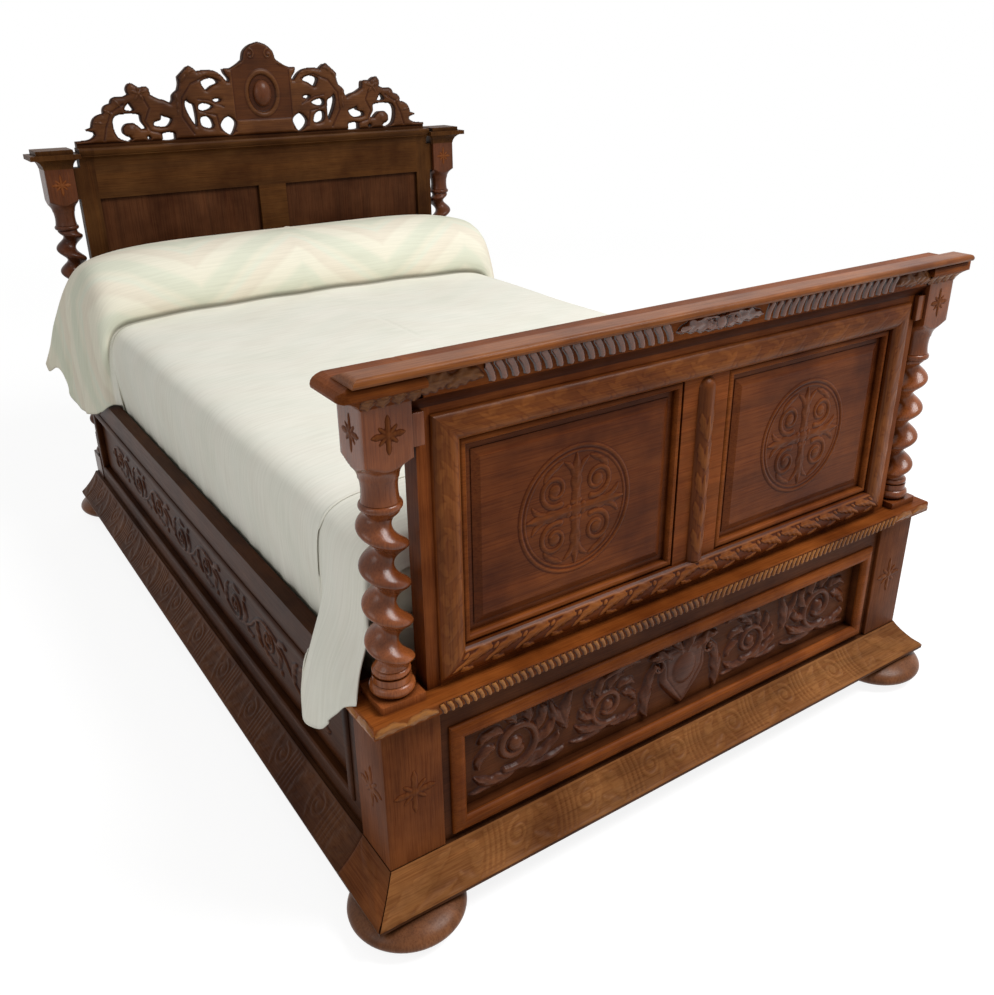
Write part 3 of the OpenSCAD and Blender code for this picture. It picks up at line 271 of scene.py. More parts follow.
# Plinth, a wide oak moulding with a hollow slope, mitred at the foot corners and glued up.
# The slope is carved with volutes, flutes and acanthus leaves; the rails carry their own lengths of it.
class Carving:
    """A board's carved face, as heights over a grid; millimetres, with the middle of the face at 0, 0."""

    def __init__(self, width, height, step):
        self.width, self.height, self.step = width, height, step
        across, up = max(6, round(width / step)), max(6, round(height / step))
        self.u, self.v = np.meshgrid(np.linspace(-width / 2, width / 2, across + 1),
            np.linspace(-height / 2, height / 2, up + 1))
        self.h = np.zeros_like(self.u)

    def near(self, path, reach):
        """The part of the grid near a path, how far along it lies from 0 to 1, and its distance off."""
        path = np.asarray(path, float)
        across = np.searchsorted(self.u[0], [path[:, 0].min() - reach, path[:, 0].max() + reach])
        upwards = np.searchsorted(self.v[:, 0], [path[:, 1].min() - reach, path[:, 1].max() + reach])
        window = (slice(*upwards), slice(*across))
        u, v = self.u[window], self.v[window]
        lengths = np.hypot(*np.diff(path, axis=0).T)
        starts = np.concatenate([[0], np.cumsum(lengths)])
        away = np.full(u.shape, 1e9)
        way = np.zeros(u.shape)
        for k, (p, q) in enumerate(zip(path[:-1], path[1:])):
            d = q - p
            t = np.clip(((u - p[0]) * d[0] + (v - p[1]) * d[1]) / max(d @ d, 1e-9), 0, 1)
            off = np.hypot(u - p[0] - t * d[0], v - p[1] - t * d[1])
            way = np.where(off < away, (starts[k] + t * lengths[k]) / starts[-1], way)
            away = np.minimum(off, away)
        return window, way, away

    def raise_to(self, window, heights):
        self.h[window] = np.maximum(self.h[window], heights)

    def stem(self, path, wide, thin, high, low=None):
        """A rounded stem that tapers from wide to thin and falls from high to low."""
        low = high if low is None else low
        window, way, away = self.near(path, max(wide, thin))
        half = (wide + (thin - wide) * way) / 2
        self.raise_to(window, (high + (low - high) * way) * np.sqrt(np.clip(1 - (away / half) ** 2, 0, 1)))

    def groove(self, path, width, depth):
        window, _, away = self.near(path, width)
        cut = depth * np.clip(1 - away / (width / 2), 0, 1)
        self.h[window] = np.maximum(self.h[window] - cut, np.minimum(self.h[window], 0))

    def ball(self, at, radius, high):
        window, _, away = self.near([at, (at[0] + 0.1, at[1])], radius)
        self.raise_to(window, high * np.sqrt(np.clip(1 - (away / radius) ** 2, 0, 1)))

    def leaf(self, path, width, high, lobes=5):
        """An acanthus leaf along path: lobed edges, and flutes that run out from its midrib."""
        window, way, away = self.near(path, width)
        body = np.sin(math.pi * np.clip(way, 0.02, 0.995) ** 0.75) ** 0.6
        lobe = 0.5 - 0.5 * np.cos(2 * math.pi * (way * lobes * 0.6 + 0.15))
        across = away / np.maximum(width / 2 * body * (0.74 + 0.26 * lobe), 0.1)
        flutes = 0.86 + 0.14 * np.cos(2 * math.pi * (way * lobes * 0.6 - 0.6 * across + 0.4))
        rib = 0.14 * np.exp(-((away / (width * 0.09)) ** 2))
        self.raise_to(window, high * np.sqrt(np.clip(1 - across**2, 0, 1)) * (flutes + rib))

    def leaves(self, at, way, *rows):
        """Leaves set out from a spot and mirrored by way; a row is x and z of root, middle and tip, then
        width, height and lobes."""
        for ax, az, mx, mz, bx, bz, width, high, lobes in rows:
            path = np.array(((ax, az), (mx, mz), (bx, bz))) * way + at
            self.leaf(bowed(*path), width, high, lobes)

    def scroll(self, at, radius, start, turn, width, high, eye=0.3):
        """A volute that winds inwards from an angle, in degrees, round to its ball."""
        self.stem(wound(at, radius, radius * 0.34, start, start + turn), width * 1.15, width * 0.75, high)
        self.ball(at, radius * eye, high * 1.15)

    def softened(self, passes):
        h = self.h
        for _ in range(passes):
            p = np.pad(h, 1, mode="edge")
            h = (4 * p[1:-1, 1:-1] + p[:-2, 1:-1] + p[2:, 1:-1] + p[1:-1, :-2] + p[1:-1, 2:]) / 8
        return h


def bowed(a, m, b, steps=10):
    """Points of a curve from a to b that leans towards m."""
    t = np.linspace(0, 1, steps + 1)[:, None]
    a, m, b = (np.asarray(p, float) for p in (a, m, b))
    return a * (1 - t) ** 2 + m * 2 * t * (1 - t) + b * t**2


def wound(at, r0, r1, start, stop, steps=28):
    """Points of a spiral round at, with its angles in degrees."""
    t = np.linspace(0, 1, steps + 1)
    angle = np.radians(start + (stop - start) * t)
    r = r0 + (r1 - r0) * t
    return np.stack([at[0] + r * np.cos(angle), at[1] + r * np.sin(angle)], axis=1)


def carved(name, work, place, material, *stands_for, slot="carved_oak", trim=True, inward=False, wear=1,
        shade_and_dirt=1.0):
    """Makes a carving a mesh. place(u, v, h) gives a point of it its x, y and z in millimetres, trim cuts
    off the bare ground, wear is how often edges are rubbed down, and the last argument how dark the hollows
    are, with dirt and painted shade."""
    h = work.softened(wear)
    around = work.softened(9 + wear)
    top = max(h.max(), 0.1)
    # Painted shade for the hollows and painted highlights for the tops, kept as a point attribute of the
    # mesh.
    hollows = 0.5 * h / top - 0.2 + (h - around) / (0.45 * top)
    shade = np.clip(0.5 + 0.12 * (1 - shade_and_dirt) + shade_and_dirt * hollows, 0, 1)
    rows, columns = h.shape

    def shape(a, b):
        i, j = np.rint(a * (columns - 1)).astype(int), np.rint(b * (rows - 1)).astype(int)
        shape.at = (j, i)
        return place(work.u[j, i], work.v[j, i], h[j, i])

    made = formed(name, columns - 1, rows - 1, shape)
    relief = made.data.attributes.new("relief", "FLOAT", "POINT")
    relief.data.foreach_set("value", shade[shape.at].astype(np.float32))
    bpy.ops.object.mode_set(mode="EDIT")
    bpy.ops.mesh.select_mode(type="FACE")
    bpy.ops.mesh.select_all(action="SELECT")
    if inward:
        bpy.ops.mesh.flip_normals()
    bpy.ops.mesh.select_all(action="DESELECT")
    bpy.ops.object.mode_set(mode="OBJECT")
    if trim:
        flat = h[shape.at] < 0.15
        corners = np.empty(len(made.data.loops), int)
        made.data.loops.foreach_get("vertex_index", corners)
        made.data.polygons.foreach_set("select", flat[corners.reshape(-1, 4)].all(axis=1))
        bpy.ops.object.mode_set(mode="EDIT")
        bpy.ops.mesh.delete(type="FACE")
        bpy.ops.object.mode_set(mode="OBJECT")
    dress(made, material, slot, *stands_for)


plinth_low, plinth_high = span("foot_plinth")
plinth_out, plinth_lip, slope_length = 54, 7, 87
plinth_x, plinth_y = plinth_high[0], plinth_low[1]
post_x = plinth_x - plinth_out
joint_y, rail_end = (corner[1] for corner in span("rail_plinth_left"))
corner_length = joint_y - plinth_y
plinth_front_oak = oak("golden brown worn plinth oak", "#8b5c34", "x", carved=True)
plinth_corner_oak = oak("red brown worn plinth oak", "#7a4826", "y", carved=True)
plinth_side_oak = oak("dark brown worn plinth oak", "#5d3a24", "y", carved=True)
plinth_board_oak = oak("dark brown plain plinth oak", "#5d3a24", "y")


def down_slope(v, h):
    """How far out the slope lies, how far out a point of its carving lies, and how high that point is."""
    t = np.clip(0.5 - v / slope_length, 0, 1)
    out = 2 * t * (1 - t) * 20 + t * t * plinth_out
    rise = (1 - t) * (plinth_high[2] - plinth_low[2]) + t * t * plinth_lip
    return out, out + h * 0.7 + 0.25, plinth_low[2] + rise + h * 0.6


def plinth_carving(length, mitres):
    """Volutes, flutes and leaves down a length of slope, with a big leaf at each mitre."""
    work = Carving(length, slope_length, 1.6)
    work.h += 1.4
    ends, edge = length / 2, slope_length / 2 - 3
    inner = [s * (ends - 150) if s in mitres else s * (ends - 8) for s in (-1, 1)]
    count = max(1, round((inner[1] - inner[0]) / 176))
    pitch = (inner[1] - inner[0]) / count
    for k in range(count):
        x = inner[0] + pitch * (k + 0.5)
        s = -1 if x < 0 else 1
        work.scroll((x - 48 * s, 2), 27, 90, -s * 430, 9, 5.6, eye=0.34)
        work.leaves((x, 0), (s, 1), (-74, 36, -86, 4, -62, -36, 26, 5.0, 5),
            (40, -36, 38, 12, 76, 34, 34, 5.8, 6), (42, -34, 66, -34, 84, -12, 24, 5.0, 4))
        for f in range(4):
            foot = x - (14 - f * 12) * s
            work.stem(bowed((foot, -38), (foot - 5 * s, 0), (foot + 7 * s, 36)), 7, 11, 3.6, 5.4)
        work.ball((x + 54 * s, 22), 7, 6.2)
    for s in mitres:
        work.leaves((s * ends, 0), (s, 1), (-6, -36, -60, -20, -128, 34, 56, 6.6, 8),
            (-70, -38, -112, -38, -150, -22, 26, 5.2, 5), (-66, 38, -84, 40, -112, 40, 14, 4.2, 3))
    for v in (-edge, edge):
        work.stem([(-ends, v), (ends, v)], 6, 6, 3.4)
    work.h = 1.0 + 0.5 * work.h
    return work


def on_front_slope(u, v, h):
    out, reach, z = down_slope(v, h)
    return u / plinth_x * (post_x + out), plinth_y + plinth_out - reach, z


carved("plinth_carving_front", plinth_carving(2 * plinth_x, (-1, 1)), on_front_slope, plinth_front_oak,
    slot="plinth_oak", trim=False, wear=4, shade_and_dirt=0.32)
refinish(plinth_board_oak, "foot_plinth", "rail_plinth_left", "rail_plinth_right")
for hand, s in SIDES:

    def on_corner_slope(u, v, h):
        out, reach, z = down_slope(v, h)
        share = 0.5 + s * u / corner_length
        return s * (post_x + reach), joint_y - (1 - share) * (corner_length - plinth_out + out), z

    def on_side_slope(u, v, h):
        out, reach, z = down_slope(v, h)
        return s * (post_x + reach), (joint_y + rail_end) / 2 + s * u, z

    corner = Carving(corner_length, slope_length, 1.6)
    corner.h += 1.4
    corner.leaves((0, 0), (s, 1), (-76, -38, -30, 0, 70, 34, 60, 3.0, 4))
    corner.h = np.where(s * corner.u > corner.width / 2 - 2.5, 0, corner.h)
    side_work = plinth_carving(rail_end - joint_y, ())
    side_work.h = np.where(np.abs(side_work.u) > side_work.width / 2 - 2.5, 0, side_work.h)
    carved("plinth_carving_corner_" + hand, corner, on_corner_slope, plinth_corner_oak, slot="plinth_oak",
        trim=False, wear=6, shade_and_dirt=0.25)
    carved("plinth_carving_" + hand, side_work, on_side_slope, plinth_side_oak, slot="plinth_oak",
        trim=False, wear=6, shade_and_dirt=0.28)


# Lower corner posts, square oak tenoned between plinth and ledge, with a flower carved
# on each of the two faces that show.
post_oak = oak("red brown post oak", "#784423", "z")
flower_oak = oak("red brown carved post oak", "#7a4725", "z", carved=True)
post_w, post_d = post_x + span("foot_lower_panel")[0][0], 106


def squared(name, xs, ys, zs, rounding):
    """A planed block between two values of x, of y and of z, with slightly rounded edges."""
    sides = [sorted(pair) for pair in (xs, ys, zs)]
    bpy.ops.object.select_all(action="DESELECT")
    bpy.ops.mesh.primitive_cube_add(size=1, location=[(a + b) / 2 * MM for a, b in sides],
        scale=[(b - a) * MM for a, b in sides])
    made = fresh(name)
    bpy.ops.object.transform_apply(location=True, rotation=True, scale=True)
    bpy.ops.object.mode_set(mode="EDIT")
    bpy.ops.mesh.select_all(action="SELECT")
    bpy.ops.mesh.bevel(offset=rounding * MM, segments=3, affect="EDGES")
    bpy.ops.object.mode_set(mode="OBJECT")
    bpy.ops.object.shade_smooth_by_angle(angle=math.radians(40))
    return made


def toward(degrees):
    """A step of 1 at an angle."""
    return np.array([math.cos(math.radians(degrees)), math.sin(math.radians(degrees))])


def on_front(x, y, z):
    """Places a carving round a spot on an upright face that looks to the foot."""
    return lambda u, v, h: (x + u, y - h, z + v)


def on_side(s, x, y, z):
    """Places it on an upright face x out from the middle, on the left for s = -1 or the right for 1."""
    return lambda u, v, h: (s * (x + h), y + s * u, z + v)


def post_flower(size):
    """A boss with leaves to all sides, the two level ones the longest."""
    work = Carving(2.3 * size, 2.6 * size, 1.25)
    for angle, length, width in ((0, 0.98, 0.42), (180, 0.98, 0.42), (90, 1.1, 0.36), (270, 1.1, 0.36),
            (42, 0.72, 0.24), (138, 0.72, 0.24), (222, 0.72, 0.24), (318, 0.72, 0.24)):
        way = toward(angle) * size
        work.leaf(bowed(way * 0.12, way * 0.5, way * length), width * size, 0.06 * size, 3)
    work.ball((0, 0), size * 0.2, size * 0.08)
    return work


def flower(name, at, facing, size, slot):
    """A flower on an upright face; facing is 0 for a face that looks to the foot, -1 left or 1 right."""
    x, y, z = at
    place = on_side(facing, abs(x) - 0.1, y, z) if facing else on_front(x, y + 0.1, z)
    carved(name, post_flower(size), place, flower_oak, slot=slot, wear=2, shade_and_dirt=0.45)


post_foot, post_top = plinth_high[2], span("foot_ledge")[0][2]
post_z = (post_foot + post_top) / 2
for hand, s in SIDES:
    block = squared("square_foot_post_" + hand, (s * (post_x - post_w), s * post_x),
        (post_front, post_front + post_d), (post_foot, post_top), 2.0)
    dress(block, post_oak, "foot_oak", "foot_post_" + hand)
    front_at = (s * (post_x - post_w / 2), post_front, post_z)
    side_at = (s * post_x, post_front + post_d / 2, post_z)
    flower("post_flower_" + hand + "_front", front_at, 0, 40, "foot_oak")
    flower("post_flower_" + hand + "_side", side_at, s, 40, "foot_oak")


# Lower panel of the foot end: an oak field set back in a moulded frame, with a shield between
# rolled acanthus scrolls. The carving is cut from thicker stuff and glued on the field.
panel_oak = oak("brown panel oak", "#5d341b", "x")
moulded_oak = oak("orange brown moulded oak", "#87491d", "x")
carving_oak = oak("dark red carved oak", "#63371f", "x", gloss=0.32, shine=0.15, carved=True)
refinish(panel_oak, "foot_lower_panel")
refinish(moulded_oak, "foot_lower_moulding")
field_y = span("foot_lower_carving")[1][1]
field_low, field_high = span("foot_lower_moulding")
field_z = (field_low[2] + field_high[2]) / 2


def acanthus_scroll(work, x, z, size, hand):
    """A rolled stem with its eye, a crown of leaves round its outside and leaves off its foot."""
    way = (hand * size, size)
    work.stem(wound((0, 0), 66, 22, -115, 310) * way + (x, z), 17 * size, 20 * size, 11 * size)
    work.ball((x, z), 19 * size, 14 * size)
    for angle in (-2, 34, 70, 106, 142, 178):
        out, rise = toward(angle)
        turned = bowed((58, -16), (96, -8), (100, 28)) @ np.array(((out, rise), (-rise, out)))
        work.leaf(turned * way + (x, z), 32 * size, 12 * size, 3)
    work.leaves((x, z), way, (-6, -64, 76, -74, 118, -22, 36 * size, 12 * size, 5),
        (0, -66, 82, -92, 134, -70, 26 * size, 10 * size, 4),
        (4, -64, -62, -96, -108, -44, 32 * size, 11 * size, 5),
        (-20, -70, -80, -86, -118, -84, 20 * size, 9 * size, 3))


lower = Carving(1060, 172, 1.5)
for s in (-1, 1):
    acanthus_scroll(lower, s * 196, -6, 0.68, s)
    acanthus_scroll(lower, s * 414, 4, 0.84, -s)
    lower.leaves((0, 0), (s, 1), (96, -74, 108, -20, 76, 40, 34, 9, 5),
        (120, 66, 150, 82, 214, 58, 26, 8, 4), (300, -10, 306, 30, 286, 70, 30, 9, 4),
        (296, -10, 330, 30, 336, 66, 24, 8, 4))
below = np.clip(-lower.v - 4, 0, 80)
reach = 60 - 60 * (below / 80) ** 1.7 + 3 * np.cos(lower.v / 16)
rim = np.clip(np.minimum(reach - np.abs(lower.u), np.minimum(lower.v + 84, 58 - lower.v)) / 10, 0, 1)
lower.h = np.maximum(lower.h * (rim <= 0), 8.5 * np.sqrt(rim))
lower.groove([(50, 50), (46, -4), (0, -74), (-46, -4), (-50, 50), (50, 50)], 5, 2.5)
boss = 1 - (lower.u / 32) ** 2 - ((lower.v - 6) / 36) ** 2
lower.h = np.where(boss > 0, np.maximum(lower.h, 8 + 7 * np.sqrt(np.clip(boss, 0, 1))), lower.h)
for s in (-1, 1):
    lower.leaves((0, 0), (s, 1), (8, 44, 14, 66, 34, 84, 26, 12, 3), (36, 40, 62, 62, 92, 56, 30, 12, 4))
    lower.scroll((s * 70, 30), 17, 100, s * 330, 8, 10)
carved("lower_carving", lower, on_front(0, field_y, field_z), carving_oak, "foot_lower_carving", wear=2,
    shade_and_dirt=0.6)


# Ledge, an oak board that covers the lower part. Its nose is cut with small leaning gadroons
# that end in a leaf near each corner, and leaves run back along its sides.
ledge_oak = oak("golden worn ledge oak", "#9b642f", "x", gloss=0.3, shine=0.2, carved=True)
leaf_oak = oak("golden worn carved leaf oak", "#8c5a30", "x", gloss=0.32, shine=0.15, carved=True)
refinish(moulded_oak, "foot_ledge")
ledge_low, ledge_high = span("foot_ledge")
reeds_low, reeds_high = span("foot_ledge_gadroons")
reeds_end = reeds_high[0]
nose_y, nose_z, nose_h = ledge_low[1] + 0.1, (reeds_low[2] + reeds_high[2]) / 2, reeds_high[2] - reeds_low[2]


def gadroons(x0, x1, height, pitch, high, s):
    """Round lobes side by side from x0 to x1, each bowed towards the middle of the bed."""
    work = Carving(x1 - x0, height, 1.0)
    count = round(work.width / pitch)
    step = work.width / count
    lobe = bowed((step * 0.3, height / 2 - 3), (-step * 0.15, 0), (-step * 0.2, 3 - height / 2)) * (s, 1)
    for k in range(count):
        work.stem(lobe + (step * (k + 0.5) - work.width / 2, 0), step * 0.62, step * 0.5, high)
    return work


for hand, s in SIDES:
    front = Carving(ledge_high[0] - reeds_end - 2, nose_h + 4, 1.1)
    side = Carving(110, nose_h + 4, 1.1)
    for work in (front, side):
        part = work.width / 2
        for start in (part - 2, -2):
            work.leaves((s * start, 0), (s, 1),
                (0, -3, -part * 0.5, 7, -part * 0.95, -4, nose_h * 0.95, 3, 4))
    carved("ledge_gadroons_" + hand, gadroons(1, reeds_end, nose_h + 2, 14.5, 4.5, s),
        on_front(s * reeds_end / 2, nose_y, nose_z), ledge_oak, "foot_ledge_gadroons", trim=False)
    carved("ledge_leaves_front_" + hand, front,
        on_front(s * (ledge_high[0] + reeds_end) / 2, nose_y, nose_z), ledge_oak, wear=3, shade_and_dirt=0.2)
    carved("ledge_leaves_side_" + hand, side, on_side(s, ledge_high[0] - 0.1, ledge_low[1] + 58, nose_z),
        ledge_oak, wear=3, shade_and_dirt=0.2)


# Foot columns, each worked from one oak square: base, torus, ring, a twist cut by hand, ring,
# neck, and a top block whose corners run down on a turned shoulder. The two twists mirror each other.
column_oak = oak("polished red brown column oak", "#8f5029", "z", gloss=0.2, shine=0.28)
strand_r, strand_off, pitch = 27.5, 12.5, 68
half_sq, torus_r, torus_h, ring_r, ring_h, neck_r, shoulder_h = 40, 38, 22, 34, 14, 30, 33
twist_start = math.radians(140)


def column(name, x, y, hand, base, twist, block, material, slot_name):
    """base, twist and block are heights from and to; the twist leans with the hand, -1 for the left side."""
    low, high, shoulder = base[1] + torus_h, twist[1] + ring_h, block[0] - shoulder_h
    rings = round((twist[1] - twist[0]) / pitch * 30)
    parts = ((base[0], base[1], 2, "block"), (base[1], low, 12, "torus"),
        (low, twist[0] - ring_h, 4, "waist"), (twist[0] - ring_h, twist[0], 12, "low ring"),
        (twist[0], twist[1], rings, "twist"), (twist[1], high, 12, "high ring"), (high, shoulder, 8, "neck"),
        (shoulder, block[0], 14, "shoulder"), (block[0], block[1], 4, "block"))
    levels = [(z, part) for z0, z1, n, part in parts for z in np.linspace(z0, z1, n + 1)]

    def half_round(r, z, z0, h):
        t = np.clip((z - z0) / h * 2 - 1, -1, 1)
        return r - h / 2 + h / 2 * math.sqrt(1 - t * t)

    def radius(turn, z, part):
        square = half_sq / np.maximum(np.abs(np.cos(turn)), np.abs(np.sin(turn)))
        square = np.minimum(square, half_sq * 1.39)
        if part == "block":
            return square
        if part == "torus":
            return half_round(torus_r, z, base[1], torus_h)
        if part == "waist":
            return neck_r + 2
        if part == "low ring":
            return half_round(ring_r - 2, z, twist[0] - ring_h, ring_h)
        if part == "high ring":
            return half_round(ring_r, z, twist[1], ring_h)
        if part == "neck":
            t = (z - high) / (shoulder - high)
            return neck_r - 8 * t * (1 - t)
        if part == "shoulder":
            t = (z - shoulder) / shoulder_h
            return np.minimum(square, neck_r + 1 + 3 * t + 22 * t**2.4)
        start = twist_start if hand > 0 else math.pi - twist_start
        lean = turn - start - hand * 2 * math.pi * (z - twist[0]) / pitch
        strand = strand_off * np.cos(lean) + np.sqrt(strand_r**2 - (strand_off * np.sin(lean)) ** 2)
        fade = min(1, (z - twist[0]) / 16, (twist[1] - z) / 16)
        return strand * fade + (1 - fade) * (ring_r - 6)

    def shape(a, b):
        turn = a * 2 * math.pi + math.pi / 4
        level = np.rint(b * (len(levels) + 1)).astype(int)
        r, z = np.zeros_like(a), np.zeros_like(a)
        for k in range(len(levels) + 2):
            at, part = levels[min(max(k - 1, 0), len(levels) - 1)]
            here = level == k
            z[here] = at
            if 0 < k < len(levels) + 1:
                r[here] = radius(turn[here], at, part)
        return x + r * np.cos(turn), y + r * np.sin(turn), z

    made = formed("turned_" + name, 96, len(levels) + 1, shape)
    close_seams(made, 38)
    dress(made, material, slot_name, name)


col_x, col_y, col_z = post_x - 6 - half_sq, post_front + half_sq, ledge_high[2]
cornice_z, cornice_end = span("foot_cornice")[0][2], span("foot_cornice")[1][0]
ear_w = 22
block_mid = cornice_z - 43
for hand, s in SIDES:
    column("foot_column_" + hand, s * col_x, col_y, s, (col_z, col_z + 14), (col_z + 62, cornice_z - 172),
        (cornice_z - 86, cornice_z), column_oak, "foot_oak")
    ear = squared("column_ear_" + hand, (s * (col_x - half_sq - ear_w), s * (col_x - half_sq)),
        (post_front + 6, post_front + 18), (cornice_z - 74, cornice_z - 22), 1.5)
    dress(ear, column_oak, "foot_oak")
    flower("block_flower_" + hand + "_front", (s * col_x, post_front, block_mid), 0, 27, "foot_oak")
    flower("block_flower_" + hand + "_side", (s * (col_x + half_sq), col_y, block_mid), s, 27, "foot_oak")


# Panelled frame of the foot end: stiles, rails and muntin joined round two raised panels, with a broad
# leaf-carved moulding planted round both, and a half-round carved staff down the muntin.
frame_oak = oak("brown frame oak", "#884a22", "x", stile_x=566)
leaf_band_oak = oak("golden brown carved leaf moulding oak", "#8a5023", "x", gloss=0.32, shine=0.1,
    carved=True)
refinish(frame_oak, "foot_frame", "foot_leaf_moulding")
band_low, band_high = span("foot_leaf_moulding")
band_w, band_out, frame_y = 48, 13, span("foot_frame")[0][1]
open_x, open_z, open_top = band_high[0] - band_w, band_low[2] + band_w, band_high[2] - band_w
half_x, half_z, middle_z = open_x + band_w, (open_top - open_z) / 2, (open_top + open_z) / 2
crown = np.concatenate([bowed((0, 0.35), (0.15, 1.25), (0.55, 1)), bowed((0.55, 1), (0.95, 0.9), (1, 0.2))])
crown = crown * (band_w, band_out)


def banded(label, half, depth, place, material, wear, shade_and_dirt, inward=False):
    """Lays curling leaves, cut to a depth, down a moulding of twice half its length. place turns the way
    along, the way out and the height to x, y and z."""
    work = Carving(2 * half, band_w, 1.3)
    count = max(2, round(2 * half / 62))
    step = 2 * half / count
    for k in range(count):
        x = step * (k + 0.5) - half
        s = -1 if x < 0 else 1
        work.leaves((x, 0), (s, 1), (-step * 0.46, -12, step * 0.05, -16, step * 0.4, 12, 25, depth, 6),
            (-step * 0.3, 17, -step * 0.05, 18, step * 0.2, 6, 13, depth * 0.8, 3))
        work.ball((x + s * step * 0.36, -12), 5, depth)
    work.stem([(-half, -20), (half, -20)], 3.4, 3.4, depth * 0.5)

    def on_band(u, v, h):
        out = v + band_w / 2
        return place(u, out, np.interp(out, crown[:, 0], crown[:, 1]) + h + 0.25)

    carved("leaf_moulding_" + label, work, on_band, material, trim=False, inward=inward, wear=wear,
        shade_and_dirt=shade_and_dirt)


banded("bottom", half_x, 2.6, lambda u, out, up: (u / half_x * (open_x + out), frame_y - up, open_z - out),
    leaf_band_oak, 1, 0.7, inward=True)
banded("top", half_x, 0.35, lambda u, out, up: (u / half_x * (open_x + out), frame_y - up, open_top + out),
    leaf_band_oak, 4, 0.22)
upright_band_oak = oak("golden brown upright leaf moulding oak", "#824b21", "z", gloss=0.32, shine=0.1,
    carved=True)
for hand, s in SIDES:
    banded(hand, half_z + band_w, 0.35, lambda u, out, up: (s * (open_x + out), frame_y - up,
        middle_z + u / (half_z + band_w) * (half_z + out)), upright_band_oak, 4, 0.22, inward=s > 0)

staff_low, staff_high = span("foot_staff")
staff_r, staff_h, staff_z = staff_high[0], staff_high[2] - staff_low[2], (staff_low[2] + staff_high[2]) / 2
arc = math.acos((staff_r - band_out) / staff_r)
staff = Carving(staff_r * arc * 2, staff_h, 1.2)
for k in range(5):
    z = -staff_h / 2 + 20 + k * 58
    for s in (-1, 1):
        staff.leaves((0, z), (s, 1), (0, 0, 12, 22, 16, 50, 17, 3.2, 5), (0, -4, 0, 20, 0, 44, 13, 3.8, 4))


def on_staff(u, v, h):
    cap = np.clip((v - staff_h / 2 + staff_r) / staff_r, 0, 1)
    r = staff_r * np.sqrt(1 - cap**2 * 0.98) + 0.3 + h * (1 - cap)
    y = staff_low[1] + staff_r - r * np.cos(u / staff_r)
    return r * np.sin(u / staff_r), np.minimum(y, frame_y), staff_z + v


staff.h *= 0.35
carved("muntin_staff", staff, on_staff, upright_band_oak, "foot_staff", trim=False, wear=2, shade_and_dirt=0.4)


# Raised panels, each a thin board with a bevelled middle, held by a small moulding, and a wheel
# of four volutes and four leaves cut low on its middle.
field_oak = oak("dark red brown field oak", "#703a18", "x", gloss=0.34, shine=0.08)
wheel_oak = oak("dark red brown carved field oak", "#723d1b", "x", gloss=0.32, shine=0.08, carved=True)
refinish(field_oak, "foot_panel_left", "foot_panel_right")
refinish(moulded_oak, "foot_bead_left", "foot_bead_right")
wheel = Carving(246, 246, 1.25)
wheel.stem(wound((0, 0), 116, 116, 0, 360, 72), 7, 7, 4.2)
wheel.stem(wound((0, 0), 107, 107, 0, 360, 72), 4, 4, 3.0)
for quarter, turn in ((45, 1), (135, -1), (225, 1), (315, -1)):
    wheel.scroll(64 * toward(quarter), 31, quarter + 180 + 20 * turn, turn * 440, 9, 5.0, eye=0.36)
    tip_path = [r * toward(quarter + turn * lean) for r, lean in ((94, 0), (100, 11.46), (98, 28.65))]
    wheel.leaf(bowed(*tip_path), 13, 4, 3)
for arm in (0, 90, 180, 270):
    tip = toward(arm)
    wheel.leaf(bowed(tip * 12, tip * 50, tip * 104), 24, 5.4, 5)
    for side in (toward(arm - 90), toward(arm + 90)):
        wheel.leaf(bowed(tip * 60 + side * 4, tip * 84 + side * 8, tip * 92 + side * 26), 12, 4.4, 3)
wheel.ball((0, 0), 13, 6.0)
for petal in range(0, 360, 45):
    wheel.ball(17 * toward(petal + 22), 5.5, 4.4)
wheel.h *= 0.5
for hand in ("left", "right"):
    wheel_low, wheel_high = span("foot_wheel_" + hand)
    wheel_x, wheel_z = (wheel_low[0] + wheel_high[0]) / 2, (wheel_low[2] + wheel_high[2]) / 2
    carved("wheel_" + hand, wheel, on_front(wheel_x, wheel_high[1], wheel_z), wheel_oak,
        "foot_wheel_" + hand, wear=2, shade_and_dirt=0.4)


# Frieze and cornice: a hollow board under the top, then a moulding cut with bold leaning gadroons,
# with a leaf group in the middle, leaves at the ends, and leaves on the flared caps of the columns.
shadow_oak = oak("dark frieze oak", "#552c16", "x")
cornice_oak = oak("polished worn cornice oak", "#7c4220", "x", gloss=0.2, shine=0.8, carved=True)
refinish(shadow_oak, "foot_frieze")
refinish(moulded_oak, "foot_cornice", "foot_cap_left", "foot_cap_right")
row_low, row_high = span("foot_gadroons")
gadroon_x0, gadroon_x1 = 110, row_high[0]
row_y, row_z, row_h = row_low[1] + 9, (row_low[2] + row_high[2]) / 2, row_high[2] - row_low[2]
ornament = Carving(2 * gadroon_x0 - 4, row_h + 4, 1.1)
for s in (-1, 1):
    ornament.leaves((0, 0), (s, 1), (14, -8, 46, 12, 102, -2, row_h * 0.9, 6, 6),
        (10, 10, 30, 16, 62, 10, 11, 7, 3))
    ornament.scroll((s * 30, 3), 11, 0, s * 330, 6, 8)
ornament.ball((0, 0), 13, 7)
carved("cornice_middle_leaves", ornament, on_front(0, row_y, row_z), cornice_oak)
cap_low, cap_high = span("foot_cap_right")
half_h = (cap_high[2] - cap_low[2]) / 2
end_x, end_half = 593, 19
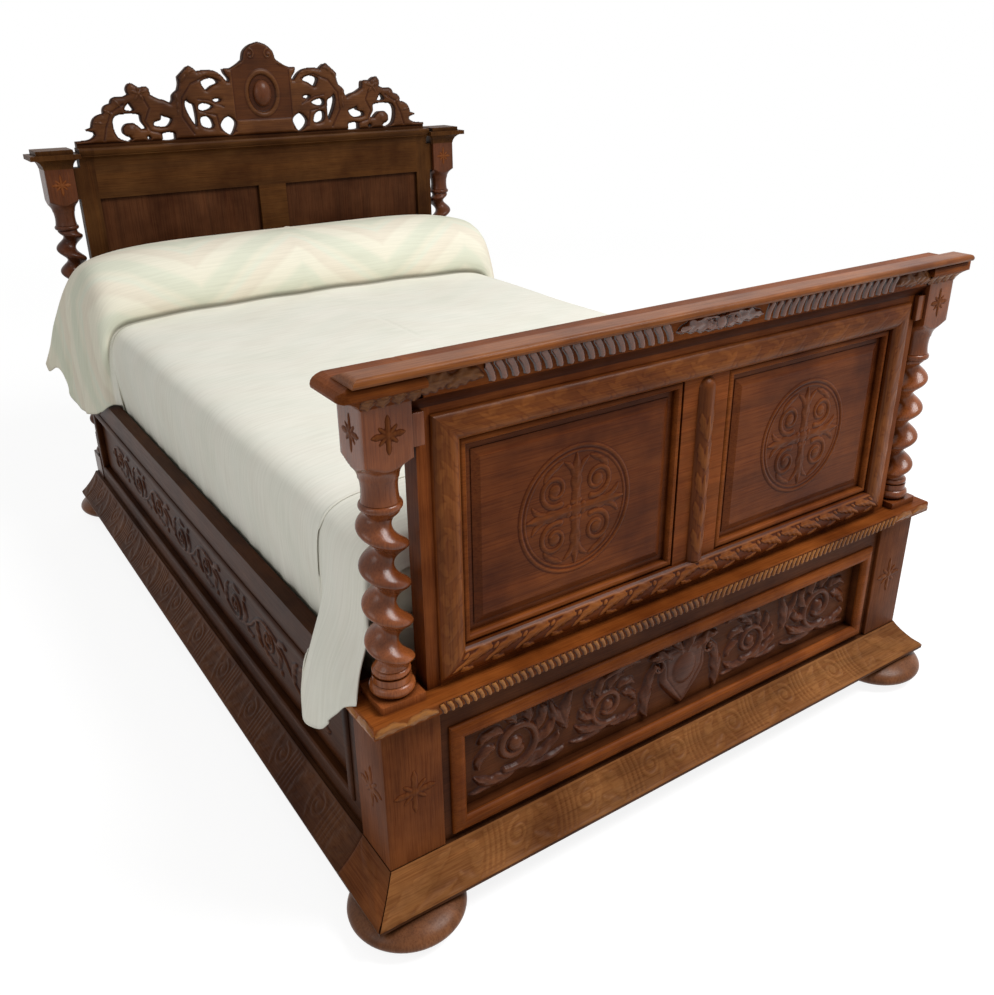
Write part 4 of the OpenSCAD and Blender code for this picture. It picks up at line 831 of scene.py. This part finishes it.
for hand, s in SIDES:
    carved("cornice_gadroons_" + hand, gadroons(gadroon_x0, gadroon_x1, row_h - 3, 20.5, 5.5, s),
        on_front(s * (gadroon_x0 + gadroon_x1) / 2, row_y, row_z), cornice_oak, "foot_gadroons")
    ends = Carving(cornice_end - gadroon_x1 + 8, row_h + 4, 1.1)
    half = ends.width / 2
    ends.leaves((0, 0), (s, 1), (half - 2, -6, half * 0.3, 12, -half * 0.1, -4, row_h, 5, 6),
        (half * 0.1, -8, -half * 0.4, 12, 2 - half, -4, row_h * 0.9, 5, 5))
    carved("cornice_leaves_" + hand, ends, on_front(s * ((cornice_end + gadroon_x1) / 2 + 4), row_y, row_z),
        leaf_oak, wear=3, shade_and_dirt=0.6)
    for face, width, flare, mid_along, high in (
            ("front", 96, 16, col_x - 6, 3.6), ("side", 60, 36, col_y - 2, 2.0)):
        cap = Carving(width, half_h + flare / 2, 1.2)
        for root in (-0.38 * width, -0.13 * width, 0.13 * width, 0.38 * width):
            cap.leaf(bowed((root, -12), (root * 1.03, 2), (root * 1.06, 12)), width * 0.26, high, 4)

        def on_cap(u, v, h):
            t = np.clip(v / cap.height + 0.5, 0, 1)
            out = flare * (0.4 * t * (1 - t) + t * t) + h + 0.2
            z = cap_low[2] + 2 * t * (1 - t) * (half_h - 4) + t * t * half_h
            if face == "front":
                return s * mid_along + u, post_front - out, z
            return s * (col_x + half_sq + out), mid_along + s * u, z

        carved("cap_leaves_" + face + "_" + hand, cap, on_cap, leaf_oak, wear=3, shade_and_dirt=0.5)
    end_block = squared("cornice_end_block_" + hand, (s * end_x - end_half, s * end_x + end_half),
        (post_front + 46, post_front + 80.5), (cornice_z + 18, cap_high[2] - 0.2), 1)
    dress(end_block, moulded_oak, "foot_oak")


# Top board of the foot end, a moulded oak plank with squared ends over the columns.
# It is planed and moulded along its edges, and pegged down on the cornice.
refinish(oak("golden brown top board oak", "#8a5229", "x", gloss=0.3, shine=0.1), "foot_top_board")


# Head posts, turned and twisted like the foot columns from one oak square each, stained darker.
# They stand from the plinth to the headboard's cap, and the headboard is tenoned into them.
head_y = span("headboard_frame")[0][1] - 14
head_cap_z = span("head_cap_left")[0][2]
head_foot = plinth_high[2]
head_post_oak = oak("dark brown turned head post oak", "#5f3620", "z", gloss=0.26, shine=0.15)
for hand, s in SIDES:
    column("head_column_" + hand, s * col_x, head_y + half_sq, s, (head_foot, head_foot + 73),
        (head_foot + 149, head_cap_z - 175), (head_cap_z - 89, head_cap_z), head_post_oak, "head_oak")
    flower("head_block_flower_" + hand + "_front", (s * col_x, head_y, head_cap_z - 44), 0, 26, "head_oak")


# Headboard: a joined oak frame with two flat panels, stained dark and dull.
# Its moulded cap is planted on the top and runs over the posts.
panel_edge = span("headboard_panel_right")[1][0]
head_oak = oak("brown headboard oak", "#533418", "x", gloss=0.42, stile_x=panel_edge)
head_field_oak = oak("dull brown headboard panel oak", "#4f2f1b", "z", gloss=0.46)
refinish(head_oak, "headboard_frame", "head_cornice", "head_cap_left", "head_cap_right")
refinish(head_field_oak, "headboard_panel_left", "headboard_panel_right")


# Crest, a board sawn and pierced into branches, then carved on its face: rounded stems with veins,
# a flower, buds and leaves, and an oval boss in a sunk ring on the middle plate.
crest_oak = oak("brown pierced crest oak", "#57351b", "x")
crest_carved_oak = oak("brown carved crest oak", "#5b371c", "x", gloss=0.34, shine=0.12, carved=True)
refinish(crest_oak, "crest")
crest_low, crest_high = span("crest")
crest_foot = crest_low[2] + 13
crest_h = crest_high[2] - crest_foot
up = crest_h / 2
crest_work = Carving(crest_high[0] - crest_low[0] + 4, crest_h + 4, 1.6)
crest_board = node["crest"]
board = BVHTree.FromPolygons([crest_board.matrix_world @ v.co for v in crest_board.data.vertices],
    [p.vertices[:] for p in crest_board.data.polygons])
forwards = Vector((0, 1, 0))
wood = np.zeros(crest_work.h.shape)
for at in np.ndindex(wood.shape):
    spot = (crest_work.u[at], crest_low[1] - 50, crest_foot + crest_h / 2 + crest_work.v[at])
    wood[at] = 1 if board.ray_cast(Vector([c * MM for c in spot]), forwards)[0] else 0
inset = np.zeros_like(wood)
layer = wood.copy()
for ring in range(16):
    inset += layer
    p = np.pad(layer, 1)
    cross = np.minimum.reduce([p[1:-1, 1:-1], p[:-2, 1:-1], p[2:, 1:-1], p[1:-1, :-2], p[1:-1, 2:]])
    corners = np.minimum.reduce([p[:-2, :-2], p[:-2, 2:], p[2:, :-2], p[2:, 2:]])
    layer = np.minimum(cross, corners) if ring % 2 else cross
inset *= crest_work.step
crest_work.h = 8.0 * np.sqrt(np.clip(1 - (1 - np.clip(inset / 13, 0, 1)) ** 2, 0, 1)) * (wood > 0)
crest_v = crest_work.v + up
middle_plate = (np.abs(crest_work.u) < 96) & (crest_v > 40)
crest_work.h = np.where(middle_plate, np.minimum(crest_work.h, 4.5), crest_work.h)
for s in (-1, 1):
    for width, depth, *vein in (
            (10, 3.5, (232, 10), (262, 60), (258, 112), (226, 152), (176, 172), (132, 158)),
            (10, 3.5, (98, 10), (148, 16), (156, 60), (192, 68)),
            (8, 3, (208, 108), (176, 104), (130, 84)),
            (10, 3.5, (300, 8), (362, 24), (376, 52), (358, 88), (372, 118)),
            (10, 3.5, (500, 6), (490, 40), (470, 80), (432, 102))):
        crest_work.groove(np.multiply(vein, (s, 1)) - (0, up), width, depth)
    for petal in range(0, 360, 72):
        out, rise = toward(petal + 18) * 23
        crest_work.leaves((s * 384, 130 - up), (s, 1), (0, 0, out / 2, rise / 2, out, rise, 17, 11, 2))
    crest_work.ball((s * 384, 130 - up), 8, 12)
    crest_work.ball((s * 420, 27 - up), 17, 11)
    crest_work.leaves((0, -up), (s, 1), (214, 190, 238, 186, 254, 158, 28, 11, 4),
        (276, 128, 268, 96, 274, 66, 22, 11, 5), (60, 206, 84, 200, 112, 192, 17, 10, 4),
        (112, 168, 134, 182, 176, 180, 15, 10, 4), (52, 20, 30, 44, 8, 30, 22, 8, 4))
    for p, q, angle in ((448, 104, 50), (476, 80, 30), (505, 52, 10)):
        out, rise = toward(angle)
        crest_work.leaves((s * p, q - up), (s, 1),
            (-10 * out, -10 * rise, 0, 0, 18 * out, 18 * rise, 15, 10, 3))
    crest_work.scroll((s * 30, 232 - up), 15, 90, s * 300, 6, 8)
oval = np.hypot(crest_work.u / 52, (crest_v - 118) / 64)
rim = 8 * np.sqrt(np.clip(1 - (np.abs(oval - 1) / 0.14) ** 2, 0, 1))
crest_work.h = np.where(oval < 0.86, 1.2, np.maximum(crest_work.h, rim)) * (wood > 0)
carved("crest_face", crest_work, on_front(0, crest_low[1], crest_foot + crest_h / 2), crest_carved_oak,
    "crest_scrolls")
bpy.ops.mesh.primitive_uv_sphere_add(segments=56, ring_count=32, radius=1)
crest_boss = fresh("crest_oval_boss")
crest_boss.scale = (30 * MM, 21 * MM, 40 * MM)
crest_boss.location = (0, crest_low[1] * MM, (crest_foot + 118) * MM)
bpy.ops.object.transform_apply(location=True, rotation=True, scale=True)
bpy.ops.object.shade_smooth()
dress(crest_boss, head_post_oak, "carved_oak", "crest_boss")


# Side rails, long oak boards hooked into the posts, with a sunk field between mouldings,
# where a thin running branch with small volutes and leaves is carved.
rail_oak = oak("dark brown rail oak", "#462611", "y", gloss=0.4)
branch_oak = oak("dark brown carved rail oak", "#502d18", "y", gloss=0.36, carved=True)
wave, border_y, border_z = 196, 20, 22
for hand, s in SIDES:
    refinish(rail_oak, "side_rail_" + hand, "rail_moulding_" + hand)
    rail_low, rail_high = span("rail_moulding_" + hand)
    run_low, run_high = span("rail_carving_" + hand)
    face_x = run_low[0] if s > 0 else -run_high[0]
    run_length = rail_high[1] - rail_low[1] - 2 * border_y
    run = Carving(run_length, rail_high[2] - rail_low[2] - 2 * border_z, 1.9)
    count = int((run_length - 120) / wave)
    for k in range(count):
        x = (k - (count - 1) / 2) * wave
        lift = 1 if k % 2 else -1
        run.scroll((x, -6 * lift), 32, -90 * lift, lift * 460, 7.5, 7)
        for path in (((-98, 6), (-50, -44), (0, -38)), ((0, -38), (50, -36), (98, -6))):
            run.stem(bowed(*path) * (1, lift) + (x, 0), 7, 7, 6)
        run.leaves((x, 0), (1, lift), (-60, -22, -70, 14, -38, 34, 25, 7, 4),
            (40, -30, 78, 0, 52, 34, 27, 7, 4), (56, -26, 84, -46, 104, -34, 19, 6, 3),
            (-28, 28, -2, 48, 34, 38, 20, 6, 4))
        run.ball((x + 64, 40 * lift), 8, 6.5)
    run.h *= 0.7
    carved("rail_branch_" + hand, run,
        on_side(s, face_x, (rail_low[1] + rail_high[1]) / 2, (rail_low[2] + rail_high[2]) / 2), branch_oak,
        "rail_carving_" + hand, wear=2, shade_and_dirt=0.8)


# Ledgers and slats, plain sawn pine, hidden under the bedding.
# The ledgers are screwed to the rails, and the slats lie loose on them.
refinish(oak("plain sawn pine", "#c8a06c", "x", gloss=0.6), "ledger_left", "ledger_right", "slats")


# Box spring and mattress, a ticking case over springs and one over wool.
# The mattress is crowned and piped, and lies loose on the box spring.
def woven(name, pale, shade, threads):
    """Plain cotton cloth: fine threads, a little mottled."""
    made, tree = blank_material(name)
    place = add_node(tree, "TexCoord").outputs["Object"]
    mottle = add_node(tree, "TexNoise", {"Vector": place, "Scale": 9.0, "Detail": 4}).outputs["Fac"]
    weave = add_node(tree, "TexNoise", {"Vector": place, "Scale": threads, "Detail": 2}).outputs["Fac"]
    colour = tones(tree, mottle, (0.3, shade), (0.7, pale))
    finish_surface(tree, colour, 0.9, weave, 0.001, {"Sheen Weight": 0.2})
    return made


ticking = woven("cream ticking", "#dcd6c4", "#cdc5b0", 900)
calico = woven("white calico", "#e4e1d6", "#d8d4c6", 1100)


def stuffed(name, stands_for, rounding, crown):
    """A closed pad in a CAD node's box, with rounded edges and a crown on its top."""
    low, high = np.array(span(stands_for))
    half = (high - low) / 2
    bpy.ops.object.select_all(action="DESELECT")
    bpy.ops.mesh.primitive_cube_add(size=2)
    made = fresh(name)
    bpy.ops.object.mode_set(mode="EDIT")
    bpy.ops.mesh.subdivide(number_cuts=30)
    bpy.ops.object.mode_set(mode="OBJECT")

    def swollen(points):
        core = np.clip(points * half, rounding - half, half - rounding)
        off = points * half - core
        length = np.linalg.norm(off, axis=1, keepdims=True)
        p = core + off / np.maximum(length, 1e-6) * np.minimum(length, rounding)
        rise = np.clip(1 - (p[:, :2] / half[:2]) ** 2, 0, 1).prod(axis=1)
        p[:, 2] += crown * rise * np.clip(p[:, 2] / half[2], 0, 1)
        return (p + (low + high) / 2) * MM

    moulded(made, swollen)
    dress(made, ticking, "ticking", stands_for)


stuffed("sprung_base", "box_spring", 12, 0)
stuffed("crowned_mattress", "mattress", 50, 8)


# Bolster, a long cotton case filled with feathers.
# It lies loose across the head end on the mattress, under the bedspread.
bolster_low, bolster_high = span("bolster")
head_inner = span("headboard_frame")[0][1] - 22
crease_y = head_inner - 271


def bolster_shape(a, b):
    """a runs along the bolster and b round it; the ends are rounded and the underside lies flat."""
    x0, x1 = bolster_low[0], bolster_high[0]
    along = np.sin((a - 0.5) * math.pi)
    swell = np.clip(1 - np.abs(along) ** 10, 0, 1) ** 0.5
    turn = b * 2 * math.pi
    front, back = crease_y + 14, bolster_high[1]
    height = bolster_high[2] - bolster_low[2]
    y = (front + back) / 2 + (back - front) / 2 * swell * np.cos(turn)
    z = bolster_low[2] + height * 0.4 + np.maximum(np.sin(turn) * height * 0.6, -height * 0.4) * swell
    return (x0 + x1) / 2 + (x1 - x0) / 2 * along, y, z


bolster = formed("feather_bolster", 60, 40, bolster_shape)
close_seams(bolster, 70)
dress(bolster, calico, "bolster_cotton", "bolster")


# Bedspread, one cream cotton cloth woven with zigzag bands. It lies over the mattress, is tucked down
# inside the rails, runs up over the bolster from a deep crease, and hangs out over the rails at the
# head and in a tongue behind each foot column.
top_z = 713
flat_top = ((0, top_z), (207, top_z - 1), (402, top_z - 4), (544, top_z - 11), (610, top_z - 26))
high_top = ((0, 886), (207, 885), (415, 880), (557, 866), (648, 838))
tucked = ((638, top_z - 62), (646, 583), (644, 500), (638, 415))
foot_rows = (
    (112, 60, ((640, 592), (664, 552), (690, 508), (713, 466)), (-4, -30, -48, -72)),
    (122, 8, ((642, 646), (666, 556), (700, 490), (724, 448)), (-3, -20, -36, -52)),
    (150, 0, ((642, 651), (666, 552), (712, 474), (732, 396)), (0, -12, -22, -34)),
    (185, 0, ((642, 651), (666, 548), (710, 463), (736, 352)), (0, -6, -16, -26)),
    (222, 0, ((641, 651), (664, 549), (706, 460), (739, 362)), (0, -2, -8, -16)),
    (250, 0, ((640, 651), (660, 556), (696, 473), (731, 404)), (0, 0, -6, -24)),
    (268, 0, ((639, 651), (653, 566), (674, 490), (703, 455)), (0, 0, -4, -22)),
    (284, 0, ((638, 651), (648, 575), (655, 507), (666, 467)), (0, 0, -2, -12)),
    (302, 0, ((638, 651), (646, 580), (647, 500), (648, 464)), (0, 0, 0, 0)))
plain_rows = (post_front + 325, post_front + 600, crease_y - 600, crease_y - 240, crease_y - 60,
    crease_y - 34)
head_rows = (
    (-15, 0.0, 2, -36, 648, 467), (-5, 0.0, 7, -24, 652, 467), (-2, 0.04, 9, -14, 658, 467),
    (-12, 0.14, 6, -6, 668, 467), (-17, 0.28, 2, 6, 688, 458), (-11, 0.48, 0, 28, 698, 442),
    (6, 0.68, 0, 58, 707, 428), (34, 0.84, 0, 96, 714, 418), (70, 0.94, 0, 136, 722, 413),
    (112, 1.0, 0, 176, 731, 417), (156, 1.0, 0, 206, 742, 436), (192, 1.0, 2, 226, 749, 474),
    (218, 1.0, 6, 240, 747, 518), (240, 1.0, 16, 252, 760, 531), (258, 1.0, 38, 260, 783, 522),
    (270, 1.0, 64, 267, 789, 546))
side_shares = ((0.22, 0.3, 22, 10), (0.48, 0.55, 23, 2), (0.75, 0.8, 12, -8), (1, 1, 0, 0))


def station_rows():
    """The cloth's sections from foot to head; each has the places of its points from middle to hem."""
    rows = []
    for y, drop, side, fan in foot_rows:
        rows.append([(x, post_front + y, z - drop) for x, z in flat_top]
            + [(x, post_front + y + dy, z) for (x, z), dy in zip(side, fan)])
    for y in plain_rows:
        rows.append([(x, y, z) for x, z in flat_top + tucked])
    for dy, t, drop, hem_dy, hem_x, hem_z in head_rows:
        y = crease_y + dy
        row = [(x0 + (x1 - x0) * t, y, z0 + (z1 - z0) * t - drop)
            for (x0, z0), (x1, z1) in zip(flat_top, high_top)]
        x, z = row[-1][0], row[-1][2]
        for share, lag, out, rise in side_shares:
            row.append((x + (hem_x - x) * share + out, y + (hem_dy - dy) * lag,
                z + (hem_z - z) * share + rise))
        rows.append(row)
    return np.array(rows, float)


def smooth_through(points, at):
    """Points of a smooth curve through a row of points, at fractional places along the row."""
    last = len(points) - 1
    k = np.clip(np.floor(at).astype(int), 0, last - 1)
    t = (at - k).reshape((-1,) + (1,) * (points.ndim - 1))
    a, b, c, d = (points[np.clip(k + i, 0, last)] for i in (-1, 0, 1, 2))
    return 0.5 * (2 * b + (c - a) * t + (2 * a - 5 * b + 4 * c - d) * t**2 + (3 * b - a - 3 * c + d) * t**3)


def folds(y, seed):
    """Soft upright folds along a side, from about -1 to 1."""
    waves = ((61, 1, 0.45), (97, 2.1, 0.4), (163, 0.7, 0.35))
    return sum(np.sin(y / length * 2 * math.pi + share * seed) * high for length, share, high in waves)


def laid_length(points):
    """How far each point of a row lies along it."""
    return np.concatenate([[0], np.cumsum(np.linalg.norm(np.diff(points, axis=0), axis=1))])


def bedspread_shape(a, b):
    rows = station_rows()
    count_b, count_a = len(np.unique(np.round(b, 6))), len(np.unique(np.round(a, 6)))
    lengths = laid_length(rows[:, 2])
    part = np.arange(len(rows) - 1)
    plain = (part >= len(foot_rows)) & (part < len(foot_rows) + len(plain_rows) - 1)
    weighed = np.concatenate([[0], np.cumsum(np.diff(lengths) * np.where(plain, 1, 3))])
    way = np.interp(np.linspace(0, weighed[-1], count_b), weighed, np.arange(len(rows)))
    across = np.linspace(-1, 1, count_a)
    reach = laid_length(rows[len(foot_rows)])
    place = np.interp(np.abs(across) * reach[-1], reach, np.arange(9))
    grid = np.stack([smooth_through(row, place) for row in smooth_through(rows, way)])
    side = np.sign(across) + (across == 0)
    loose = np.clip((place - 4.4) / 3.6, 0, 1)
    x, y = grid[..., 0], grid[..., 1]
    out = np.gradient(grid[..., 2], axis=1) * side
    sideways = np.gradient(x, axis=1)
    size = np.maximum(np.hypot(out, sideways), 1e-9)
    hang = np.clip((x - 655) / 90, 0, 1)
    ripples = np.where(side < 0, folds(y + place * 7, 0.4), folds(y - place * 7, 2.9))
    moved = loose * (2.6 + 5 * hang) * ripples
    for line, lean, deep in ((post_front + 128, -11, 8), (crease_y + 62, -8, 12), (crease_y + 228, 18, 14)):
        moved -= deep * loose * np.exp(-(((y - line - lean * (place - 8)) / 10) ** 2))
    moved += (1 - loose) * (1.6 * np.sin(y / 190 + x * side / 260) + 1.2 * np.sin(y / 83 - x * side / 151)
        + 1.6 * np.exp(-(((y - crease_y + 40) / 60) ** 2)) * np.sin(x * side / 37))
    x = side * (x + np.abs(out) / size * moved)
    z = grid[..., 2] + np.abs(sideways) / size * moved
    bedspread_shape.flat = np.stack([np.broadcast_to(across * reach[-1], x.shape),
        np.broadcast_to(np.interp(way, np.arange(len(rows)), lengths)[:, None], x.shape)], axis=-1)
    at = np.rint(b * (count_b - 1)).astype(int), np.rint(a * (count_a - 1)).astype(int)
    bedspread_shape.at = at
    bedspread_shape.crease = lengths[len(foot_rows) + len(plain_rows) + 2]
    bedspread_shape.size = (2 * reach[-1], lengths[-1])
    return x[at], y[at], z[at]


cloth = formed("cotton_bedspread", 160, 300, bedspread_shape)
flat_places = bedspread_shape.flat[bedspread_shape.at]
woven_at = cloth.data.attributes.new("woven_at", "FLOAT_VECTOR", "POINT")
woven_at.data.foreach_set("vector", np.column_stack([flat_places * MM, np.zeros(len(flat_places))]).ravel()
    .astype(np.float32))
bpy.ops.object.modifier_add(type="SOLIDIFY")
cloth.modifiers[0].thickness = 3 * MM
cloth.modifiers[0].offset = -1
bpy.ops.object.modifier_apply(modifier=cloth.modifiers[0].name)

zigzag_cotton, tree = blank_material("cream cotton woven in zigzag bands")
flat_at = add_node(tree, "Attribute", attribute_name="woven_at").outputs["Vector"]
axes = add_node(tree, "SeparateXYZ", {"Vector": flat_at}).outputs
zigzag = reckoned(tree, "PINGPONG", reckoned(tree, "ADD", axes["X"], 0.06), 0.3)
zigzag = reckoned(tree, "ADD", axes["Y"], reckoned(tree, "MULTIPLY", zigzag, 0.8))
band = reckoned(tree, "FRACT", reckoned(tree, "DIVIDE", zigzag, 0.21))
bands = tones(tree, band, (0.0, "#e6e2cd"), (0.1, "#d9dbc6"), (0.3, "#dddfca"), (0.4, "#ebe6d2"),
    (0.58, "#eee8d4"), (0.66, "#e6dcc8"), (0.82, "#e9e0cc"), (0.9, "#e2e3d0"), (1.0, "#e6e2cd"))
on_bolster = add_node(tree, "MapRange", {"Value": axes["Y"], "From Min": bedspread_shape.crease * MM,
    "From Max": bedspread_shape.crease * MM + 0.02}).outputs["Result"]
slub_place = add_node(tree, "Mapping", {"Vector": flat_at, "Scale": (9.0, 160.0, 1.0)}).outputs["Vector"]
slubs = add_node(tree, "TexNoise", {"Vector": slub_place, "Scale": 1.0, "Detail": 3}).outputs["Fac"]
share = reckoned(tree, "ADD", reckoned(tree, "MULTIPLY", on_bolster, 0.7), 0.14)
mottle = add_node(tree, "TexNoise", {"Vector": flat_at, "Scale": 5.0, "Detail": 3}).outputs["Fac"]
plain = tones(tree, mottle, (0.3, "#e7e5d9"), (0.7, "#efede3"))
colour = mixed(tree, "MIX", share, plain, bands)
colour = mixed(tree, "MULTIPLY", 0.25, colour, tones(tree, slubs, (0.35, "#e2e1dc"), (0.6, "#ffffff")))
closed = add_node(tree, "AmbientOcclusion", {"Distance": 0.03}, samples=8).outputs["AO"]
shadows = tones(tree, closed, (0.15, "#8c8778"), (0.7, "#ffffff"))
colour = mixed(tree, "MULTIPLY", 1.0, colour, shadows)
threads = add_node(tree, "TexNoise", {"Vector": flat_at, "Scale": 700.0, "Detail": 2}).outputs["Fac"]
surface = reckoned(tree, "ADD", slubs, reckoned(tree, "MULTIPLY", threads, 0.35))
finish_surface(tree, colour, 0.9, surface, 0.0006, {})
dress(cloth, zigzag_cotton, "spread_cotton", "bedspread")


# Studio: a pale floor that keeps the bed's soft shadow, a white background for the camera,
# a big soft lamp above on the right, a weak one on the left and pale light all round.
def looked_at(tree):
    """1 for the camera's own rays, by a polished face or through glass too, and 0 for the bed's light."""
    rays = add_node(tree, "LightPath").outputs
    bent = reckoned(tree, "MAXIMUM", rays["Is Glossy Ray"], rays["Is Transmission Ray"])
    return reckoned(tree, "MAXIMUM", rays["Is Camera Ray"], bent)


bpy.ops.mesh.primitive_plane_add(size=60)
floor = fresh("studio_floor")
paper, tree = blank_material("pale studio floor")
matt = add_node(tree, "BsdfDiffuse", {"Color": linear("#d8d8d6")}).outputs["BSDF"]
catching = add_node(tree, "BsdfDiffuse", {"Color": linear("#8c8c8c")}).outputs["BSDF"]
glow = add_node(tree, "Emission", {"Color": linear("#ffffff"), "Strength": 0.86}).outputs["Emission"]
bright = add_node(tree, "AddShader", {0: catching, 1: glow}).outputs["Shader"]
spot = add_node(tree, "TexCoord").outputs["Object"]
away = add_node(tree, "VectorMath", {0: spot}, operation="LENGTH").outputs["Value"]
far = add_node(tree, "MapRange", {"Value": away, "From Min": 2.5, "From Max": 6.0}).outputs["Result"]
plain_white = add_node(tree, "Emission", {"Color": linear("#ffffff"), "Strength": 1.0}).outputs["Emission"]
fading = add_node(tree, "MixShader", {0: far, 1: bright, 2: plain_white}).outputs["Shader"]
floor_look = add_node(tree, "MixShader", {0: looked_at(tree), 1: matt, 2: fading}).outputs["Shader"]
add_node(tree, "OutputMaterial", {"Surface": floor_look})
floor.data.materials.append(paper)

world = bpy.data.worlds.new("pale room")
bpy.context.scene.world = world
world.use_nodes = True
tree = world.node_tree
tree.nodes.clear()
room = add_node(tree, "Background", {"Color": linear("#f2f2f0"), "Strength": 0.4}).outputs["Background"]
white = add_node(tree, "Background", {"Color": linear("#ffffff"), "Strength": 1.0}).outputs["Background"]
sky = add_node(tree, "MixShader", {0: looked_at(tree), 1: room, 2: white}).outputs["Shader"]
add_node(tree, "OutputWorld", {"Surface": sky})


def lamp(name, place, aim, size, watts):
    data = bpy.data.lights.new(name, "AREA")
    data.shape = "DISK"
    data.size = size
    data.energy = watts
    made = bpy.data.objects.new(name, data)
    bpy.context.collection.objects.link(made)
    made.location = place
    made.rotation_euler = (Vector(aim) - Vector(place)).to_track_quat("-Z", "Y").to_euler()


lamp("main_soft_lamp", (1.9, -2.4, 4.2), (0.1, 0.0, 0.6), 2.2, 190)
lamp("left_soft_lamp", (-3.4, -1.2, 2.2), (0.0, 0.0, 0.6), 2.0, 22)
bpy.context.scene.view_settings.view_transform = "Standard"
